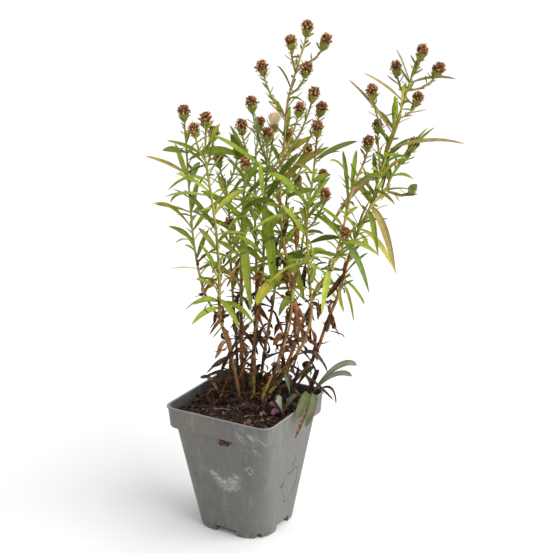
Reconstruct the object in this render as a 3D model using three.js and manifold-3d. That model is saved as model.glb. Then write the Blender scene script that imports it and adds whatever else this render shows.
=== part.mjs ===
// A potted aster after flowering: square nursery pot, soil, leafy stems, spent heads and basal shoots.
// Millimetres, +Z up, with the pot square to X and Y. The plant's places are given across, deep and up
// from the pot's axis at the floor, in axes that are turned on the pot.
import * as THREE from 'three';
import { mergeVertices } from 'three/addons/utils/BufferGeometryUtils.js';
import Module from 'manifold-3d';

const wasm = await Module();
wasm.setup();
const { Manifold, Mesh } = wasm;

// Driving dimensions of the pot
const POT_HEIGHT = 99;
const RIM_HALF = 45;
const FOOT_HALF = 30.5;
const NECK_HALF = 40.6;
const BAND_BOTTOM = 83;
const WALL = 1;
const RIM_CORNER = 8.6;
const FOOT_CORNER = 19.3;
const CORNER_STEPS = 5;
const CHANNEL_HALF = 9.2;
const CHANNEL_HEIGHT = 4.8;
const DRAIN_RADIUS = 2;
const DRAIN_REACH = 35;
const DRAIN_DEPTH = 10;
const BASE_BEVEL = 0.6;
const LIP_DEPTH = 1.8;
const LIP_BEVEL = 0.5;
const BAND_HALF = 43.9;
const BAND_TOP_HALF = 44.4;

// Driving dimensions of the soil
const FIT_GAP = 0.3;
const SOIL_EDGE = 88;
const SOIL_LEVEL = 90;
const SOIL_MOUND = 1.6;
const SOIL_ROUGHNESS = 1.3;
const SOIL_RINGS = [0.8, 0.52, 0.26];
const CHIP_COUNT = 20;
const CHIP_REACH = 36;
const CHIP_SINK = 0.2;
const HOLE_SLACK = 1.4;
const HOLE_SIDES = 6;
const HOLE_FLOOR = 76.5;

// Driving dimensions of the plant
const PLANT_TURN = 29.8;
const SHOOT_RADII = [2, 2, 1.2];
const SHOOT_TOP = 94;
const SHOOT_LEAF_FOOT = 92;
const STEM_FOOT = 78;
const STEM_NECK = 88;
const STEM_COLLAR = 96;
const STEM_SIDES = 5;
const BRANCH_SIDES = 3;
const BRANCH_RADIUS = 0.8;
const BRANCH_STEP = 16;
const BRANCH_BEND = 0.45;
const HEAD_CENTRE = 9;
const LEAF_KEEL = 0.6;
const LEAF_RISE = 0.6;
const CLEARANCE = 0.45;
const DRY_TOP = 176;
const GREEN_TOP = 286;
const GOLDEN_ANGLE = 137.508;
const CURVE_STEP = 16;
const SHORTEST_EDGE = 0.03;

const COLOURS = {
  pot: 0x6f7274,
  soil: 0x3a2b22,
  stem: 0x6f7d3c,
  dark_stem: 0x5c5a34,
  red_stem: 0x8a6a3a,
  shoot: 0x6d8256,
  withered: 0x5a4636,
  head: 0x4a2a18,
  fluff: 0xd9c7a0,
};

const UP = new THREE.Vector3(0, 0, 1);
const radians = THREE.MathUtils.degToRad;
const at = (x, y, z) => new THREE.Vector3(x, y, z);
const grown = (across, deep, up) => at(across, deep, up).applyAxisAngle(UP, radians(PLANT_TURN));
const ACROSS = grown(1, 0, 0);

// A repeatable draw between 0 and 1 for each seed
function chance(seed) {
  const wave = Math.sin(seed * 12.9898 + 4.1414) * 43758.5453;
  return wave - Math.floor(wave);
}

const between = (low, high, seed) => low + (high - low) * chance(seed);

// A solid of a closed geometry, whose equal points are merged
function toSolid(geometry) {
  const bare = geometry.clone();
  bare.deleteAttribute('normal');
  bare.deleteAttribute('uv');
  const merged = mergeVertices(bare);
  return new Manifold(new Mesh({
    numProp: 3,
    vertProperties: merged.attributes.position.array,
    triVerts: new Uint32Array(merged.index.array),
  }));
}

// The body that is left when the scraps of a cut are dropped
const largestBody = (solid) => solid.decompose().reduce((a, b) => (a.volume() > b.volume() ? a : b));

// Triangles between two rings. A ring of one point is a tip.
function skin(lower, lowerCount, upper, upperCount) {
  const count = Math.max(lowerCount, upperCount);
  return Array.from({ length: count }, (_, j) => {
    const next = (j + 1) % count;
    if (lowerCount === 1) {
      return [lower, upper + next, upper + j];
    }
    if (upperCount === 1) {
      return [lower + j, lower + next, upper];
    }
    return j === 0
      ? [lower, lower + next, upper + next, lower, upper + next, upper]
      : [lower + j, lower + next, upper + j, lower + next, upper + next, upper + j];
  }).flat();
}

const fan = (start, count, turn) => Array.from({ length: Math.max(count - 2, 0) }, (_, j) => (
  turn > 0 ? [start, start + j + 1, start + j + 2] : [start, start + j + 2, start + j + 1]
)).flat();

// A closed skin through rings of points that turn counter-clockwise about the way they travel
function loft(rings) {
  const starts = rings.map((_, level) => rings.slice(0, level).reduce((sum, ring) => sum + ring.length, 0));
  const sides = rings.slice(1).flatMap((ring, level) => (
    skin(starts[level], rings[level].length, starts[level + 1], ring.length)
  ));
  const geometry = new THREE.BufferGeometry().setFromPoints(rings.flat());
  geometry.setIndex([
    ...fan(0, rings[0].length, -1),
    ...sides,
    ...fan(starts.at(-1), rings.at(-1).length, 1),
  ]);
  return geometry;
}

// Pot and soil

function roundedSquare(half, corner, height) {
  return [45, 135, 225, 315].flatMap((diagonal) => {
    const reach = (half - corner) * Math.SQRT2;
    const centre = at(reach, 0, height).applyAxisAngle(UP, radians(diagonal));
    return Array.from({ length: CORNER_STEPS + 1 }, (_, step) => {
      const turn = radians(diagonal - 45 + (90 * step) / CORNER_STEPS);
      return at(corner, 0, 0).applyAxisAngle(UP, turn).add(centre);
    });
  });
}

const cornerAt = (height) => FOOT_CORNER + (RIM_CORNER - FOOT_CORNER) * (height / POT_HEIGHT);
const wallAt = (height) => FOOT_HALF + (NECK_HALF - FOOT_HALF) * (height / BAND_BOTTOM);

const squareRings = (profile, inset) => profile.map(([height, half]) => (
  roundedSquare(half - inset, cornerAt(height) - inset, height)
));

// The cross-shaped channel under the base, grown on all sides
function crossChannel(grow) {
  const length = 4 * RIM_HALF;
  const width = 2 * (CHANNEL_HALF + grow);
  const height = 2 * (CHANNEL_HEIGHT + grow);
  const along = toSolid(new THREE.BoxGeometry(length, width, height));
  const over = toSolid(new THREE.BoxGeometry(width, length, height));
  return along.add(over);
}

// A drain hole with a round head through a corner of the base
function drainWay(diagonal) {
  const width = 2 * DRAIN_RADIUS;
  const head = new THREE.CylinderGeometry(DRAIN_RADIUS, DRAIN_RADIUS, DRAIN_DEPTH, 10)
    .rotateZ(Math.PI / 2)
    .translate(DRAIN_REACH, 0, DRAIN_RADIUS);
  const leg = new THREE.BoxGeometry(DRAIN_DEPTH, width, width).translate(DRAIN_REACH, 0, 0);
  const turn = radians(diagonal);
  return toSolid(head.rotateZ(turn)).add(toSolid(leg.rotateZ(turn)));
}

const NECK_TOP = BAND_BOTTOM + WALL;

function buildPot() {
  const outer = squareRings([
    [0, FOOT_HALF - BASE_BEVEL],
    [BASE_BEVEL, wallAt(BASE_BEVEL)],
    [BAND_BOTTOM, NECK_HALF],
    [BAND_BOTTOM, BAND_HALF],
    [POT_HEIGHT - LIP_DEPTH - LIP_BEVEL, BAND_TOP_HALF],
    [POT_HEIGHT - LIP_DEPTH, RIM_HALF],
    [POT_HEIGHT - LIP_BEVEL, RIM_HALF],
    [POT_HEIGHT, RIM_HALF - LIP_BEVEL],
  ], 0);
  const inner = squareRings([
    [WALL, wallAt(WALL)],
    [NECK_TOP, wallAt(NECK_TOP)],
    [NECK_TOP, BAND_HALF],
    [POT_HEIGHT + WALL, BAND_TOP_HALF],
  ], WALL);
  return toSolid(loft(outer))
    .subtract(crossChannel(0))
    .subtract(toSolid(loft(inner)).subtract(crossChannel(WALL)))
    .subtract(Manifold.union([45, 135, 225, 315].map(drainWay)));
}

function soilHeight(x, y) {
  const rim = Math.max(Math.abs(x), Math.abs(y)) / RIM_HALF;
  const ripple = Math.sin(x * 0.31 + 1.3) * Math.cos(y * 0.27 - 0.6) + Math.sin(x * 0.13 - y * 0.19);
  return SOIL_LEVEL + SOIL_MOUND * (1 - rim * rim) + SOIL_ROUGHNESS * 0.5 * ripple;
}

function soilChip(index) {
  const draw = (low, high, step) => between(low, high, index * 7 + step);
  const x = draw(-CHIP_REACH, CHIP_REACH, 2);
  const y = draw(-CHIP_REACH, CHIP_REACH, 3);
  const tilt = radians(draw(-24, 24, 7));
  const chip = new THREE.BoxGeometry(draw(5, 11, 4), draw(2.5, 5, 5), draw(1.6, 3, 6))
    .rotateX(tilt)
    .rotateY(tilt * 0.6)
    .rotateZ(radians(draw(0, 360, 1)))
    .translate(x, y, soilHeight(x, y) - CHIP_SINK);
  return toSolid(chip);
}

function stemHole({ foot, radius }) {
  const depth = POT_HEIGHT - HOLE_FLOOR;
  const width = radius + HOLE_SLACK;
  return toSolid(new THREE.CylinderGeometry(width, width, depth, HOLE_SIDES)
    .rotateX(Math.PI / 2)
    .translate(foot.x, foot.y, HOLE_FLOOR + depth / 2));
}

function buildSoil(feet) {
  const gap = WALL + FIT_GAP;
  const wall = squareRings([
    [WALL + FIT_GAP, wallAt(WALL)],
    [NECK_TOP + FIT_GAP, wallAt(NECK_TOP)],
    [NECK_TOP + FIT_GAP, BAND_HALF],
    [SOIL_EDGE, BAND_HALF],
  ], gap);
  const surface = SOIL_RINGS.map((share) => wall.at(-1).map(({ x, y }) => (
    at(x * share, y * share, soilHeight(x * share, y * share))
  )));
  const body = toSolid(loft([...wall, ...surface, [at(0, 0, soilHeight(0, 0))]]))
    .subtract(crossChannel(gap));
  const chips = Array.from({ length: CHIP_COUNT }, (_, index) => soilChip(index));
  const holes = Manifold.union(feet.map(stemHole));
  return largestBody(Manifold.union([body, ...chips]).subtract(holes));
}

// Curves of the plant

// The points of a stem: a smooth curve through its route, in steps of about one length
function sampleRoute(route) {
  const points = route.map((point) => grown(...point));
  const length = points.slice(1).reduce((sum, point, index) => sum + point.distanceTo(points[index]), 0);
  const curve = new THREE.CatmullRomCurve3(points, false, 'catmullrom', 0.5);
  return curve.getPoints(Math.round(length / CURVE_STEP));
}

function pointAtHeight(points, height) {
  const index = points.findIndex((point) => point.z >= height);
  const next = points[Math.max(index, 1)];
  const previous = points[Math.max(index, 1) - 1];
  const share = (height - previous.z) / (next.z - previous.z);
  return previous.clone().lerp(next, share);
}

function bezier([start, bend, end], share) {
  const rest = 1 - share;
  return start.clone().multiplyScalar(rest * rest)
    .addScaledVector(bend, 2 * rest * share)
    .addScaledVector(end, share * share);
}

function bezierTangent([start, bend, end], share) {
  return bend.clone().sub(start).multiplyScalar(1 - share)
    .addScaledVector(end.clone().sub(bend), share)
    .normalize();
}

function tube(points, radii, sides) {
  const rings = points.map((point, index) => {
    const ahead = points[Math.min(index + 1, points.length - 1)];
    const behind = points[Math.max(index - 1, 0)];
    const way = ahead.clone().sub(behind).normalize();
    const side = ACROSS.clone().cross(way).normalize();
    const face = way.clone().cross(side);
    return Array.from({ length: sides }, (_, corner) => {
      const turn = (2 * Math.PI * corner) / sides;
      return point.clone()
        .addScaledVector(side, radii[index] * Math.cos(turn))
        .addScaledVector(face, radii[index] * Math.sin(turn));
    });
  });
  return loft(rings);
}

function stemTube(points, footRadius, topRadius) {
  const count = points.length - 1;
  const radii = points.map((_, index) => footRadius + (topRadius - footRadius) * (index / count));
  return tube(points, radii, STEM_SIDES);
}

// Leaves

const LONG_BLADE = [[0.22, 0.72], [0.48, 1], [0.76, 0.72]];
const LONG_LEAF = 17;
const SHORT_BLADE = [[0.3, 0.9], [0.66, 0.85]];

// A keeled blade along a bent midline, three-sided in section and pointed at both ends. Its upper face is
// turned to the front by open degrees. A margin makes it larger all round.
function blade({ path, width, open, twist }, margin = 0) {
  const profile = path[0].distanceTo(path[2]) > LONG_LEAF ? LONG_BLADE : SHORT_BLADE;
  const outward = path[2].clone().sub(path[0]).setZ(0).normalize();
  const level = UP.clone().cross(outward);
  const hand = outward.dot(ACROSS) < 0 ? -1 : 1;
  const rings = profile.map(([share, fill]) => {
    const way = bezierTangent(path, share);
    const side = level.clone().applyAxisAngle(way, radians(open * hand + twist * share));
    const face = way.clone().cross(side);
    const middle = bezier(path, share);
    const reach = (width * fill) / 2 + 2 * margin;
    const edge = middle.clone().addScaledVector(face, LEAF_KEEL * LEAF_RISE + margin);
    return [
      middle.addScaledVector(face, -LEAF_KEEL - margin),
      edge.clone().addScaledVector(side, reach),
      edge.clone().addScaledVector(side, -reach),
    ];
  });
  const tip = path[2].clone().addScaledVector(bezierTangent(path, 1), 2 * margin);
  return loft([[path[0].clone()], ...rings, [tip]]);
}

// Flower heads

const CUP_SIDES = 6;
const CUP = [[1.8, 2.4, 0], [5.5, 3.4, 0.5], [4.9, 2.2, 0]];
const CUP_DISH = 4.8;
const TUFT_SIDES = 10;
const TUFT_FLOOR = 5.5;
const TUFT = [[5.7, 2, 0], [7.8, 4.1, 0.5], [10.8, 4.5, 0.6], [12.4, 2.2, 0.4]];
const TUFT_TOP = 11.8;
const BUD = [[1.6, 2.3, 0], [4, 2.9, 0], [7.2, 2.1, 0]];
const BUD_TIP = 10.4;

// Every other point of a ring stands out and up, as a bract or floret tip does
function toothedRing([height, radius, tooth], sides, row) {
  return Array.from({ length: sides }, (_, corner) => {
    const stand = (corner + row) % 2 === 0 ? tooth : -tooth;
    const turn = (2 * Math.PI * corner) / sides;
    return at((radius + stand) * Math.cos(turn), (radius + stand) * Math.sin(turn), height + stand * 0.8);
  });
}

const toothedRings = (profile, sides) => profile.map((row, index) => toothedRing(row, sides, index));

function placeHead(rings, head) {
  const turn = new THREE.Quaternion().setFromUnitVectors(UP, head.way);
  const scale = at(head.scale, head.scale, head.scale);
  return loft(rings).applyMatrix4(new THREE.Matrix4().compose(head.foot, turn, scale));
}

const pointedRings = (bottom, profile, top, sides) => [
  [at(0, 0, bottom)],
  ...toothedRings(profile, sides),
  [at(0, 0, top)],
];

const buildCup = (head) => placeHead(pointedRings(0, CUP, CUP_DISH, CUP_SIDES), head);
const buildBud = (head) => placeHead(pointedRings(0, BUD, BUD_TIP, CUP_SIDES), head);
const buildTuft = (head) => placeHead(pointedRings(TUFT_FLOOR, TUFT, TUFT_TOP, TUFT_SIDES), head);

// A head leans on its branch, half upright and half along the way the branch comes
function poseHead(points, [height, centre, scale, colour = 'head']) {
  const start = pointAtHeight(points, height);
  const middle = grown(...centre);
  const way = middle.clone().sub(start).normalize().add(UP).normalize();
  const foot = middle.clone().addScaledVector(way, -HEAD_CENTRE * scale);
  return { start, way, foot, scale, colour };
}

function buildBranch({ start, way, foot, scale }) {
  const end = foot.clone().addScaledVector(way, scale);
  const length = start.distanceTo(end);
  const path = [start, end.clone().addScaledVector(way, -BRANCH_BEND * length), end];
  const count = Math.max(2, Math.round(length / BRANCH_STEP));
  const points = Array.from({ length: count + 1 }, (_, index) => bezier(path, index / count));
  return tube(points, points.map(() => BRANCH_RADIUS), BRANCH_SIDES);
}

// The stems' routes, by points across, deep and up. A head is its height on the stem, its centre and its
// size. A leaf is its height on the stem, its tip, its width, how far its midline rises and how far it
// opens to the front. Foliage is the lowest and highest leaf, the height between leaves and a seed.

const rooted = (across, deep, ...rest) => [
  [across, deep, STEM_FOOT],
  [across, deep, STEM_NECK],
  [across, deep, STEM_COLLAR],
  ...rest,
];

const STEMS = {
  stem_left: {
    colour: 'stem',
    radii: [1.7, 1],
    route: rooted(-6, 12, [-12, 14, 130], [-19, 8, 159], [-19, 2, 190], [-20, -4, 222], [-23, -8, 252],
      [-26, -10, 275], [-28, -12, 290]),
    forks: {
      outer: {
        radii: [1.1, 0.85],
        route: [[-19, 8, 157], [-28, 10, 172], [-33, 9, 188], [-36, 8, 206], [-38, 6, 224], [-39, 3, 246],
          [-40, 1, 268], [-41, 0, 296]],
        heads: [[294, [-42, 0, 315], 1]],
        leaves: [
          [268, [-69, -6, 283], 3.4, 0, 40], [227, [-65, -2, 248], 3.2, 9, 40],
          [240, [-34, 16, 262], 4, 0, 50],
        ],
        foliage: [196, 286, 22, 11],
      },
    },
    heads: [[284, [-26, -12, 312], 1], [280, [-34, -19, 306], 0.95], [276, [-21, -3, 301], 0.95]],
    leaves: [
      [284, [-53, -16, 296], 3.2, 0, 40], [266, [-53, -18, 261], 3, 9, 30], [229, [-42, -14, 261], 4, 0, 60],
      [198, [-22, -8, 240], 5.6, 0, 70], [193, [-32, -8, 220], 4.2, 0, 60], [172, [-38, -4, 173], 4.4, 4, 50],
      [167, [-40, 0, 156], 4.4, 5, 50], [174, [-4, -8, 155], 4.4, 6, 60], [171, [6, -2, 158], 4, 8, 40],
      [126, [-30, 6, 116], 6, 8, 40], [112, [-30, 20, 104], 5, 6, 40], [284, [-16, -16, 308], 4.2, 0, 60],
    ],
    foliage: [122, 270, 15, 21],
  },
  stem_dark_left: {
    colour: 'dark_stem',
    radii: [1.5, 0.9],
    route: rooted(-7, 34, [-9, 40, 138], [-12, 44, 185], [-13, 46, 228], [-16, 46, 256]),
    heads: [[252, [-21, 47, 272], 0.95], [248, [-6, 56, 276], 0.9]],
    leaves: [[150, [-30, 44, 132], 5, 10, 30]],
    foliage: [108, 250, 12, 31],
  },
  stem_thick_left: {
    colour: 'dark_stem',
    radii: [2.1, 1],
    route: rooted(-3, 27, [-4, 28, 126], [-4, 24, 168], [-3, 18, 204], [-2, 12, 236], [0, 8, 263],
      [2, 4, 286]),
    heads: [[284, [-2, 0, 305], 1], [256, [1, -12, 281], 0.95], [208, [-11, 4, 234], 0.9]],
    leaves: [
      [278, [-40, -2, 279], 6.4, 9, 40], [234, [-31, 0, 257], 5.2, 0, 60], [274, [-10, 6, 296], 6.6, 0, 70],
      [218, [4, 6, 163], 8, 16, 70], [240, [22, -6, 252], 5, 4, 50],
    ],
    foliage: [112, 276, 15, 41],
  },
  stem_inner: {
    colour: 'stem',
    radii: [1.6, 0.95],
    route: rooted(5, 18, [6, 18, 134], [10, 14, 167], [13, 10, 203], [13, 8, 237], [15, 6, 261],
      [16, 5, 282]),
    heads: [[280, [16, 3, 299], 1], [276, [5, 8, 320], 1], [270, [21, 13, 305], 0.95, 'fluff'],
      [266, [39, -1, 317], 0.95],
      [262, [49, 5, 327], 1], [256, [55, 15, 315], 1]],
    leaves: [
      [245, [21, 0, 180], 8, 18, 70], [244, [38, -8, 286], 6.8, 0, 60], [270, [-24, -4, 300], 4, 0, 50],
      [276, [7, -6, 316], 5, 0, 60], [206, [-6, -6, 226], 5, 0, 50],
    ],
    foliage: [110, 240, 15, 51],
  },
  stem_tall: {
    colour: 'red_stem',
    radii: [1.8, 0.9],
    route: rooted(13, 24, [25, 22, 107], [33, 18, 125], [39, 14, 150], [35, 14, 171], [31, 16, 196],
      [27, 18, 220], [25, 20, 242], [26, 20, 264], [28, 20, 286], [29, 20, 304], [31, 20, 320], [36, 20, 338],
      [41, 20, 354]),
    forks: {
      right: {
        radii: [1.2, 0.9],
        route: [[39, 14, 149], [46, 16, 162], [54, 12, 183], [63, 3, 200], [68, -4, 222], [72, -8, 242],
          [76, -10, 261], [83, -13, 280]],
        heads: [[278, [86, -14, 296], 1], [208, [71, -15, 231], 0.95]],
        leaves: [[198, [55, -8, 166], 5.8, 12, 60], [222, [89, -12, 184], 4.6, 14, 50],
          [232, [52, -14, 250], 4, 0, 50], [262, [98, -18, 272], 4, 4, 40]],
        foliage: [176, 270, 17, 61],
      },
    },
    heads: [[352, [44, 20, 371], 1], [338, [32, 12, 362], 0.95], [342, [58, 27, 361], 1],
      [322, [44, 11, 343], 1], [306, [12, 14, 344], 1]],
    leaves: [
      [204, [43, 6, 172], 5.8, 12, 50], [228, [0, 4, 248], 5.2, 0, 50], [260, [60, 8, 287], 5.8, 0, 50],
      [184, [7, 26, 160], 5.8, 12, 50], [303, [17, 12, 318], 3, 0, 40], [118, [66, 6, 95], 3.4, 22, 30],
    ],
    foliage: [116, 330, 16, 71],
  },
  stem_right: {
    colour: 'stem',
    radii: [1.9, 0.85],
    route: rooted(25, 24, [33, 26, 100], [43, 27, 109], [52, 27, 123], [61, 27, 150], [69, 26, 172],
      [75, 23, 198], [83, 19, 224], [91, 15, 243], [96, 10, 266], [100, 6, 281], [104, 4, 297], [108, 2, 310],
      [112, 0, 325], [116, -3, 340]),
    forks: {
      side: {
        radii: [1, 0.8],
        route: [[92, 14, 244], [101, 18, 252], [106, 21, 263], [112, 23, 274]],
        heads: [[270, [122, 24, 288], 1]],
        buds: [[254, [123, 14, 258], 0.9]],
        leaves: [[270, [130, 16, 300], 3, 0, 40], [262, [138, 28, 296], 2.6, 4, 40]],
        foliage: [258, 266, 12, 81],
      },
    },
    heads: [[338, [122, -4, 357], 1], [324, [105, 5, 345], 0.95], [328, [134, -7, 345], 1],
      [290, [88, -5, 330], 1], [308, [122, 7, 323], 0.95], [268, [94, 13, 303], 0.9]],
    leaves: [
      [224, [111, 8, 191], 4, 10, 40], [242, [109, 4, 195], 5.2, 14, 60], [238, [96, 2, 208], 5, 12, 60],
      [266, [59, -10, 230], 3.4, 10, 40], [285, [155, 2, 290], 3.2, 4, 40], [297, [72, -4, 336], 3.6, 0, 40],
      [320, [82, -8, 341], 2.6, 0, 40], [333, [145, -9, 337], 2.6, 2, 40], [334, [104, -6, 357], 2.4, 0, 40],
      [267, [109, -6, 311], 5.6, 0, 70],
    ],
    foliage: [116, 300, 16, 91],
  },
  stem_middle: {
    colour: 'stem',
    radii: [1.6, 0.9],
    route: rooted(17, 15, [24, 16, 105], [33, 13, 121], [43, 8, 141], [48, 4, 162], [47, 3, 184],
      [45, 2, 212], [44, 1, 231], [46, 0, 250], [48, 0, 265], [50, 0, 286]),
    heads: [[284, [51, 0, 304], 1], [228, [57, -9, 258], 0.95]],
    leaves: [
      [279, [79, -8, 294], 4.4, 0, 50], [244, [16, -12, 272], 5.2, 7, 50], [234, [2, -16, 228], 3.4, 13, 40],
      [222, [26, -10, 249], 5.2, 0, 60], [127, [61, 12, 114], 3.6, 24, 40],
    ],
    foliage: [112, 270, 15, 101],
  },
  stem_front: {
    colour: 'red_stem',
    radii: [1.3, 0.9],
    route: rooted(12, 7, [20, 8, 116], [28, 6, 138], [33, 3, 160], [34, 0, 182]),
    heads: [],
    leaves: [[178, [44, -8, 160], 5, 8, 50], [176, [24, -10, 166], 5, 8, 60], [180, [38, -8, 200], 4, 0, 60]],
    foliage: [112, 178, 12, 111],
  },
  stem_back: {
    colour: 'stem',
    radii: [1.7, 0.95],
    route: rooted(10, 33, [14, 38, 127], [19, 41, 154], [23, 44, 186], [28, 46, 224], [33, 46, 262]),
    heads: [[258, [31, 42, 291], 0.95], [250, [46, 52, 278], 0.9]],
    leaves: [[200, [46, 60, 216], 5.4, 6, 40]],
    foliage: [110, 254, 11, 121],
  },
  stem_back_middle: {
    colour: 'red_stem',
    radii: [1.7, 0.95],
    route: rooted(2, 35, [6, 46, 137], [7, 54, 184], [6, 60, 230], [7, 61, 276]),
    heads: [[274, [10, 60, 297], 0.95]],
    leaves: [[210, [-14, 70, 224], 5.4, 6, 40]],
    foliage: [110, 268, 11, 131],
  },
  stem_back_right: {
    colour: 'stem',
    radii: [1.6, 0.9],
    route: rooted(18, 29, [27, 38, 126], [36, 50, 168], [43, 60, 206], [46, 64, 234]),
    heads: [[230, [38, 66, 252], 0.9], [226, [58, 66, 256], 0.9]],
    leaves: [[190, [66, 60, 190], 5.4, 10, 40]],
    foliage: [110, 226, 11, 141],
  },
};

// Shoots low in the pot: three young and one withered. A leaf here is its bend, its tip and its width.
const SHOOTS = {
  shoot_front: {
    colour: 'shoot',
    base: [27, -17],
    leaves: [
      [[20, -20, 104], [18.5, -22, 102], 4.6], [[24, -18, 108], [22, -16, 104], 6],
      [[32, -16, 106], [38, -14, 107], 5.4], [[23, -25, 102], [19, -28, 97], 4],
    ],
  },
  shoot_right: {
    colour: 'shoot',
    base: [46, 12],
    leaves: [
      [[56, -7, 116], [43.5, -19.5, 83], 8], [[49, -14, 118], [36.5, -33, 95], 9],
      [[68, 12, 128], [83, 13, 119.5], 5.4], [[64, 9, 121], [79, 6, 113.5], 4.8],
      [[50, 12, 106], [54.5, 12, 116.5], 5.4], [[66, 12, 114], [67.4, 8, 90], 3.4],
      [[50, 13, 108], [44, 12, 111], 5], [[52, -14, 120], [35.5, -34, 80], 4.2],
    ],
  },
  shoot_back: {
    colour: 'shoot',
    base: [33, 17],
    leaves: [
      [[30, 20, 116], [18, 18, 118], 6.4], [[31, 24, 108], [34, 32, 104], 5],
      [[44, 20, 112], [51.5, 18, 117], 5], [[38, 14, 108], [39.5, 16, 117], 4],
    ],
  },
  shoot_left: {
    colour: 'withered',
    base: [-20, 17],
    leaves: [
      [[-28, 24, 112], [-36, 29, 103], 5], [[-24, 12, 106], [-30, 5, 98], 4.4],
      [[-14, 24, 110], [-9, 29, 103], 5], [[-20, 26, 114], [-26, 34, 104], 4.4],
    ],
  },
};

// Leaf candidates: each has its tries, of which the first that is clear of the other pieces is kept

const LEAF_ARCH = 0.1;
const DEPTH_TRIES = [0, -4, 4, -8, 8, -13, 13];
const TURN_TRIES = [0, 25, -25, 50, -50, 80, -80];

function shownLeaf(points, [height, tip, width, rise, open]) {
  const base = pointAtHeight(points, height);
  return DEPTH_TRIES.map((shift) => {
    const end = grown(tip[0], tip[1] + shift, tip[2]);
    const bend = base.clone().lerp(end, 0.5);
    bend.z += rise + LEAF_ARCH * base.distanceTo(end);
    return { path: [base, bend, end], width, open, twist: 0 };
  });
}

// Leaves up a stem by the golden angle: dry and hanging low down, green and long higher up, small at the top
function ruleLeaf(points, index, height, seed) {
  const base = pointAtHeight(points, height);
  const draw = (low, high, step) => between(low, high, seed * 31 + index * 5 + step);
  const dry = { length: draw(17, 25, 1), width: draw(4, 5.6, 2), out: 0.55, up: draw(-0.8, -0.5, 3) };
  const green = { length: draw(22, 32, 1), width: draw(4.4, 6, 2), out: 0.82, up: draw(0.1, 0.6, 3) };
  const small = { length: draw(10, 14, 1), width: draw(2.6, 3.2, 2), out: 0.75, up: 0.6 };
  const hanging = { ...dry, rise: 0.5, bend: 0.7 };
  const upright = { ...(height < GREEN_TOP ? green : small), rise: 0.12, bend: 0.5 };
  const form = height < DRY_TOP ? hanging : upright;
  return TURN_TRIES.map((turn) => {
    const heading = radians(GOLDEN_ANGLE * index + seed * 37 + turn);
    const out = form.length * form.out;
    const end = at(out * Math.cos(heading), out * Math.sin(heading), form.length * form.up).add(base);
    const bend = base.clone().lerp(end, form.bend);
    bend.z = (base.z + end.z) / 2 + form.length * form.rise;
    return { path: [base, bend, end], width: form.width, open: draw(10, 45, 4), twist: draw(-50, 50, 5) };
  });
}

function ruleLeaves(points, [from, to, every, seed]) {
  const count = Math.floor((to - from) / every) + 1;
  return Array.from({ length: count }, (_, index) => ruleLeaf(points, index, from + every * index, seed));
}

const shootLeaf = (base) => ([bend, tip, width]) => [
  { path: [grown(...base, SHOOT_LEAF_FOOT), grown(...bend), grown(...tip)], width, open: 30, twist: 0 },
];

// The plant's pieces: first what stands fixed, then the leaves that fit between

function growStem([name, plan]) {
  const runs = [plan, ...Object.values(plan.forks ?? {})]
    .map((run) => ({ ...run, points: sampleRoute(run.route) }));
  const heads = runs.flatMap((run) => run.heads.map((head) => poseHead(run.points, head)));
  const buds = runs.flatMap((run) => (run.buds ?? []).map((bud) => poseHead(run.points, bud)));
  const geometries = [
    ...runs.map((run) => stemTube(run.points, ...run.radii)),
    ...[...heads, ...buds].map(buildBranch),
    ...heads.map(buildCup),
    ...buds.map(buildBud),
  ];
  const candidates = runs.flatMap((run) => [
    ...run.leaves.map((leaf) => shownLeaf(run.points, leaf)),
    ...ruleLeaves(run.points, run.foliage),
  ]);
  const [foot] = runs[0].points;
  return { name, colour: plan.colour, foot, radius: plan.radii[0], geometries, heads, candidates };
}

function growShoot([name, { colour, base, leaves }]) {
  const stalk = [STEM_FOOT, STEM_NECK, SHOOT_TOP].map((height) => grown(...base, height));
  return {
    name,
    colour,
    foot: stalk[0],
    radius: SHOOT_RADII[0],
    geometries: [tube(stalk, SHOOT_RADII, STEM_SIDES)],
    heads: [],
    candidates: leaves.map(shootLeaf(base)),
  };
}

function place(owner, solid) {
  const corners = solid.boundingBox();
  return { owner, solid, box: new THREE.Box3(at(...corners.min), at(...corners.max)) };
}

const growing = [...Object.entries(STEMS).map(growStem), ...Object.entries(SHOOTS).map(growShoot)];
const pot = buildPot();
const soil = buildSoil(growing);
const tufts = growing.flatMap((plant) => plant.heads)
  .map((head) => ({ colour: head.colour, solid: toSolid(buildTuft(head)) }));
const placed = [
  place('pot', pot),
  place('soil', soil),
  ...tufts.map((tuft) => place('head', tuft.solid)),
  ...growing.flatMap(({ name, geometries }) => geometries.map((geometry) => place(name, toSolid(geometry)))),
];

function isClear({ owner, solid, box }) {
  return placed.every((piece) => (
    piece.owner === owner || !piece.box.intersectsBox(box) || piece.solid.intersect(solid).isEmpty()
  ));
}

// The first try of a leaf that keeps clear of every other piece is kept
function addLeaf(name, tries) {
  const found = tries.find((leaf) => isClear(place(name, toSolid(blade(leaf, CLEARANCE)))));
  if (found) {
    placed.push(place(name, toSolid(blade(found))));
  }
}

const mostLeaves = Math.max(...growing.map((plant) => plant.candidates.length));
for (let turn = 0; turn < mostLeaves; turn += 1) {
  growing
    .filter((plant) => plant.candidates.length > turn)
    .forEach((plant) => addLeaf(plant.name, plant.candidates[turn]));
}

// The part

function toMesh(name, solid, colour, roughness) {
  const { vertProperties, triVerts } = solid.simplify(SHORTEST_EDGE).getMesh();
  const geometry = new THREE.BufferGeometry();
  geometry.setAttribute('position', new THREE.BufferAttribute(vertProperties, 3));
  geometry.setIndex(new THREE.BufferAttribute(triVerts, 1));
  geometry.computeVertexNormals();
  const material = new THREE.MeshStandardMaterial({ color: COLOURS[colour], roughness });
  const mesh = new THREE.Mesh(geometry, material);
  mesh.name = name;
  return mesh;
}

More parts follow.
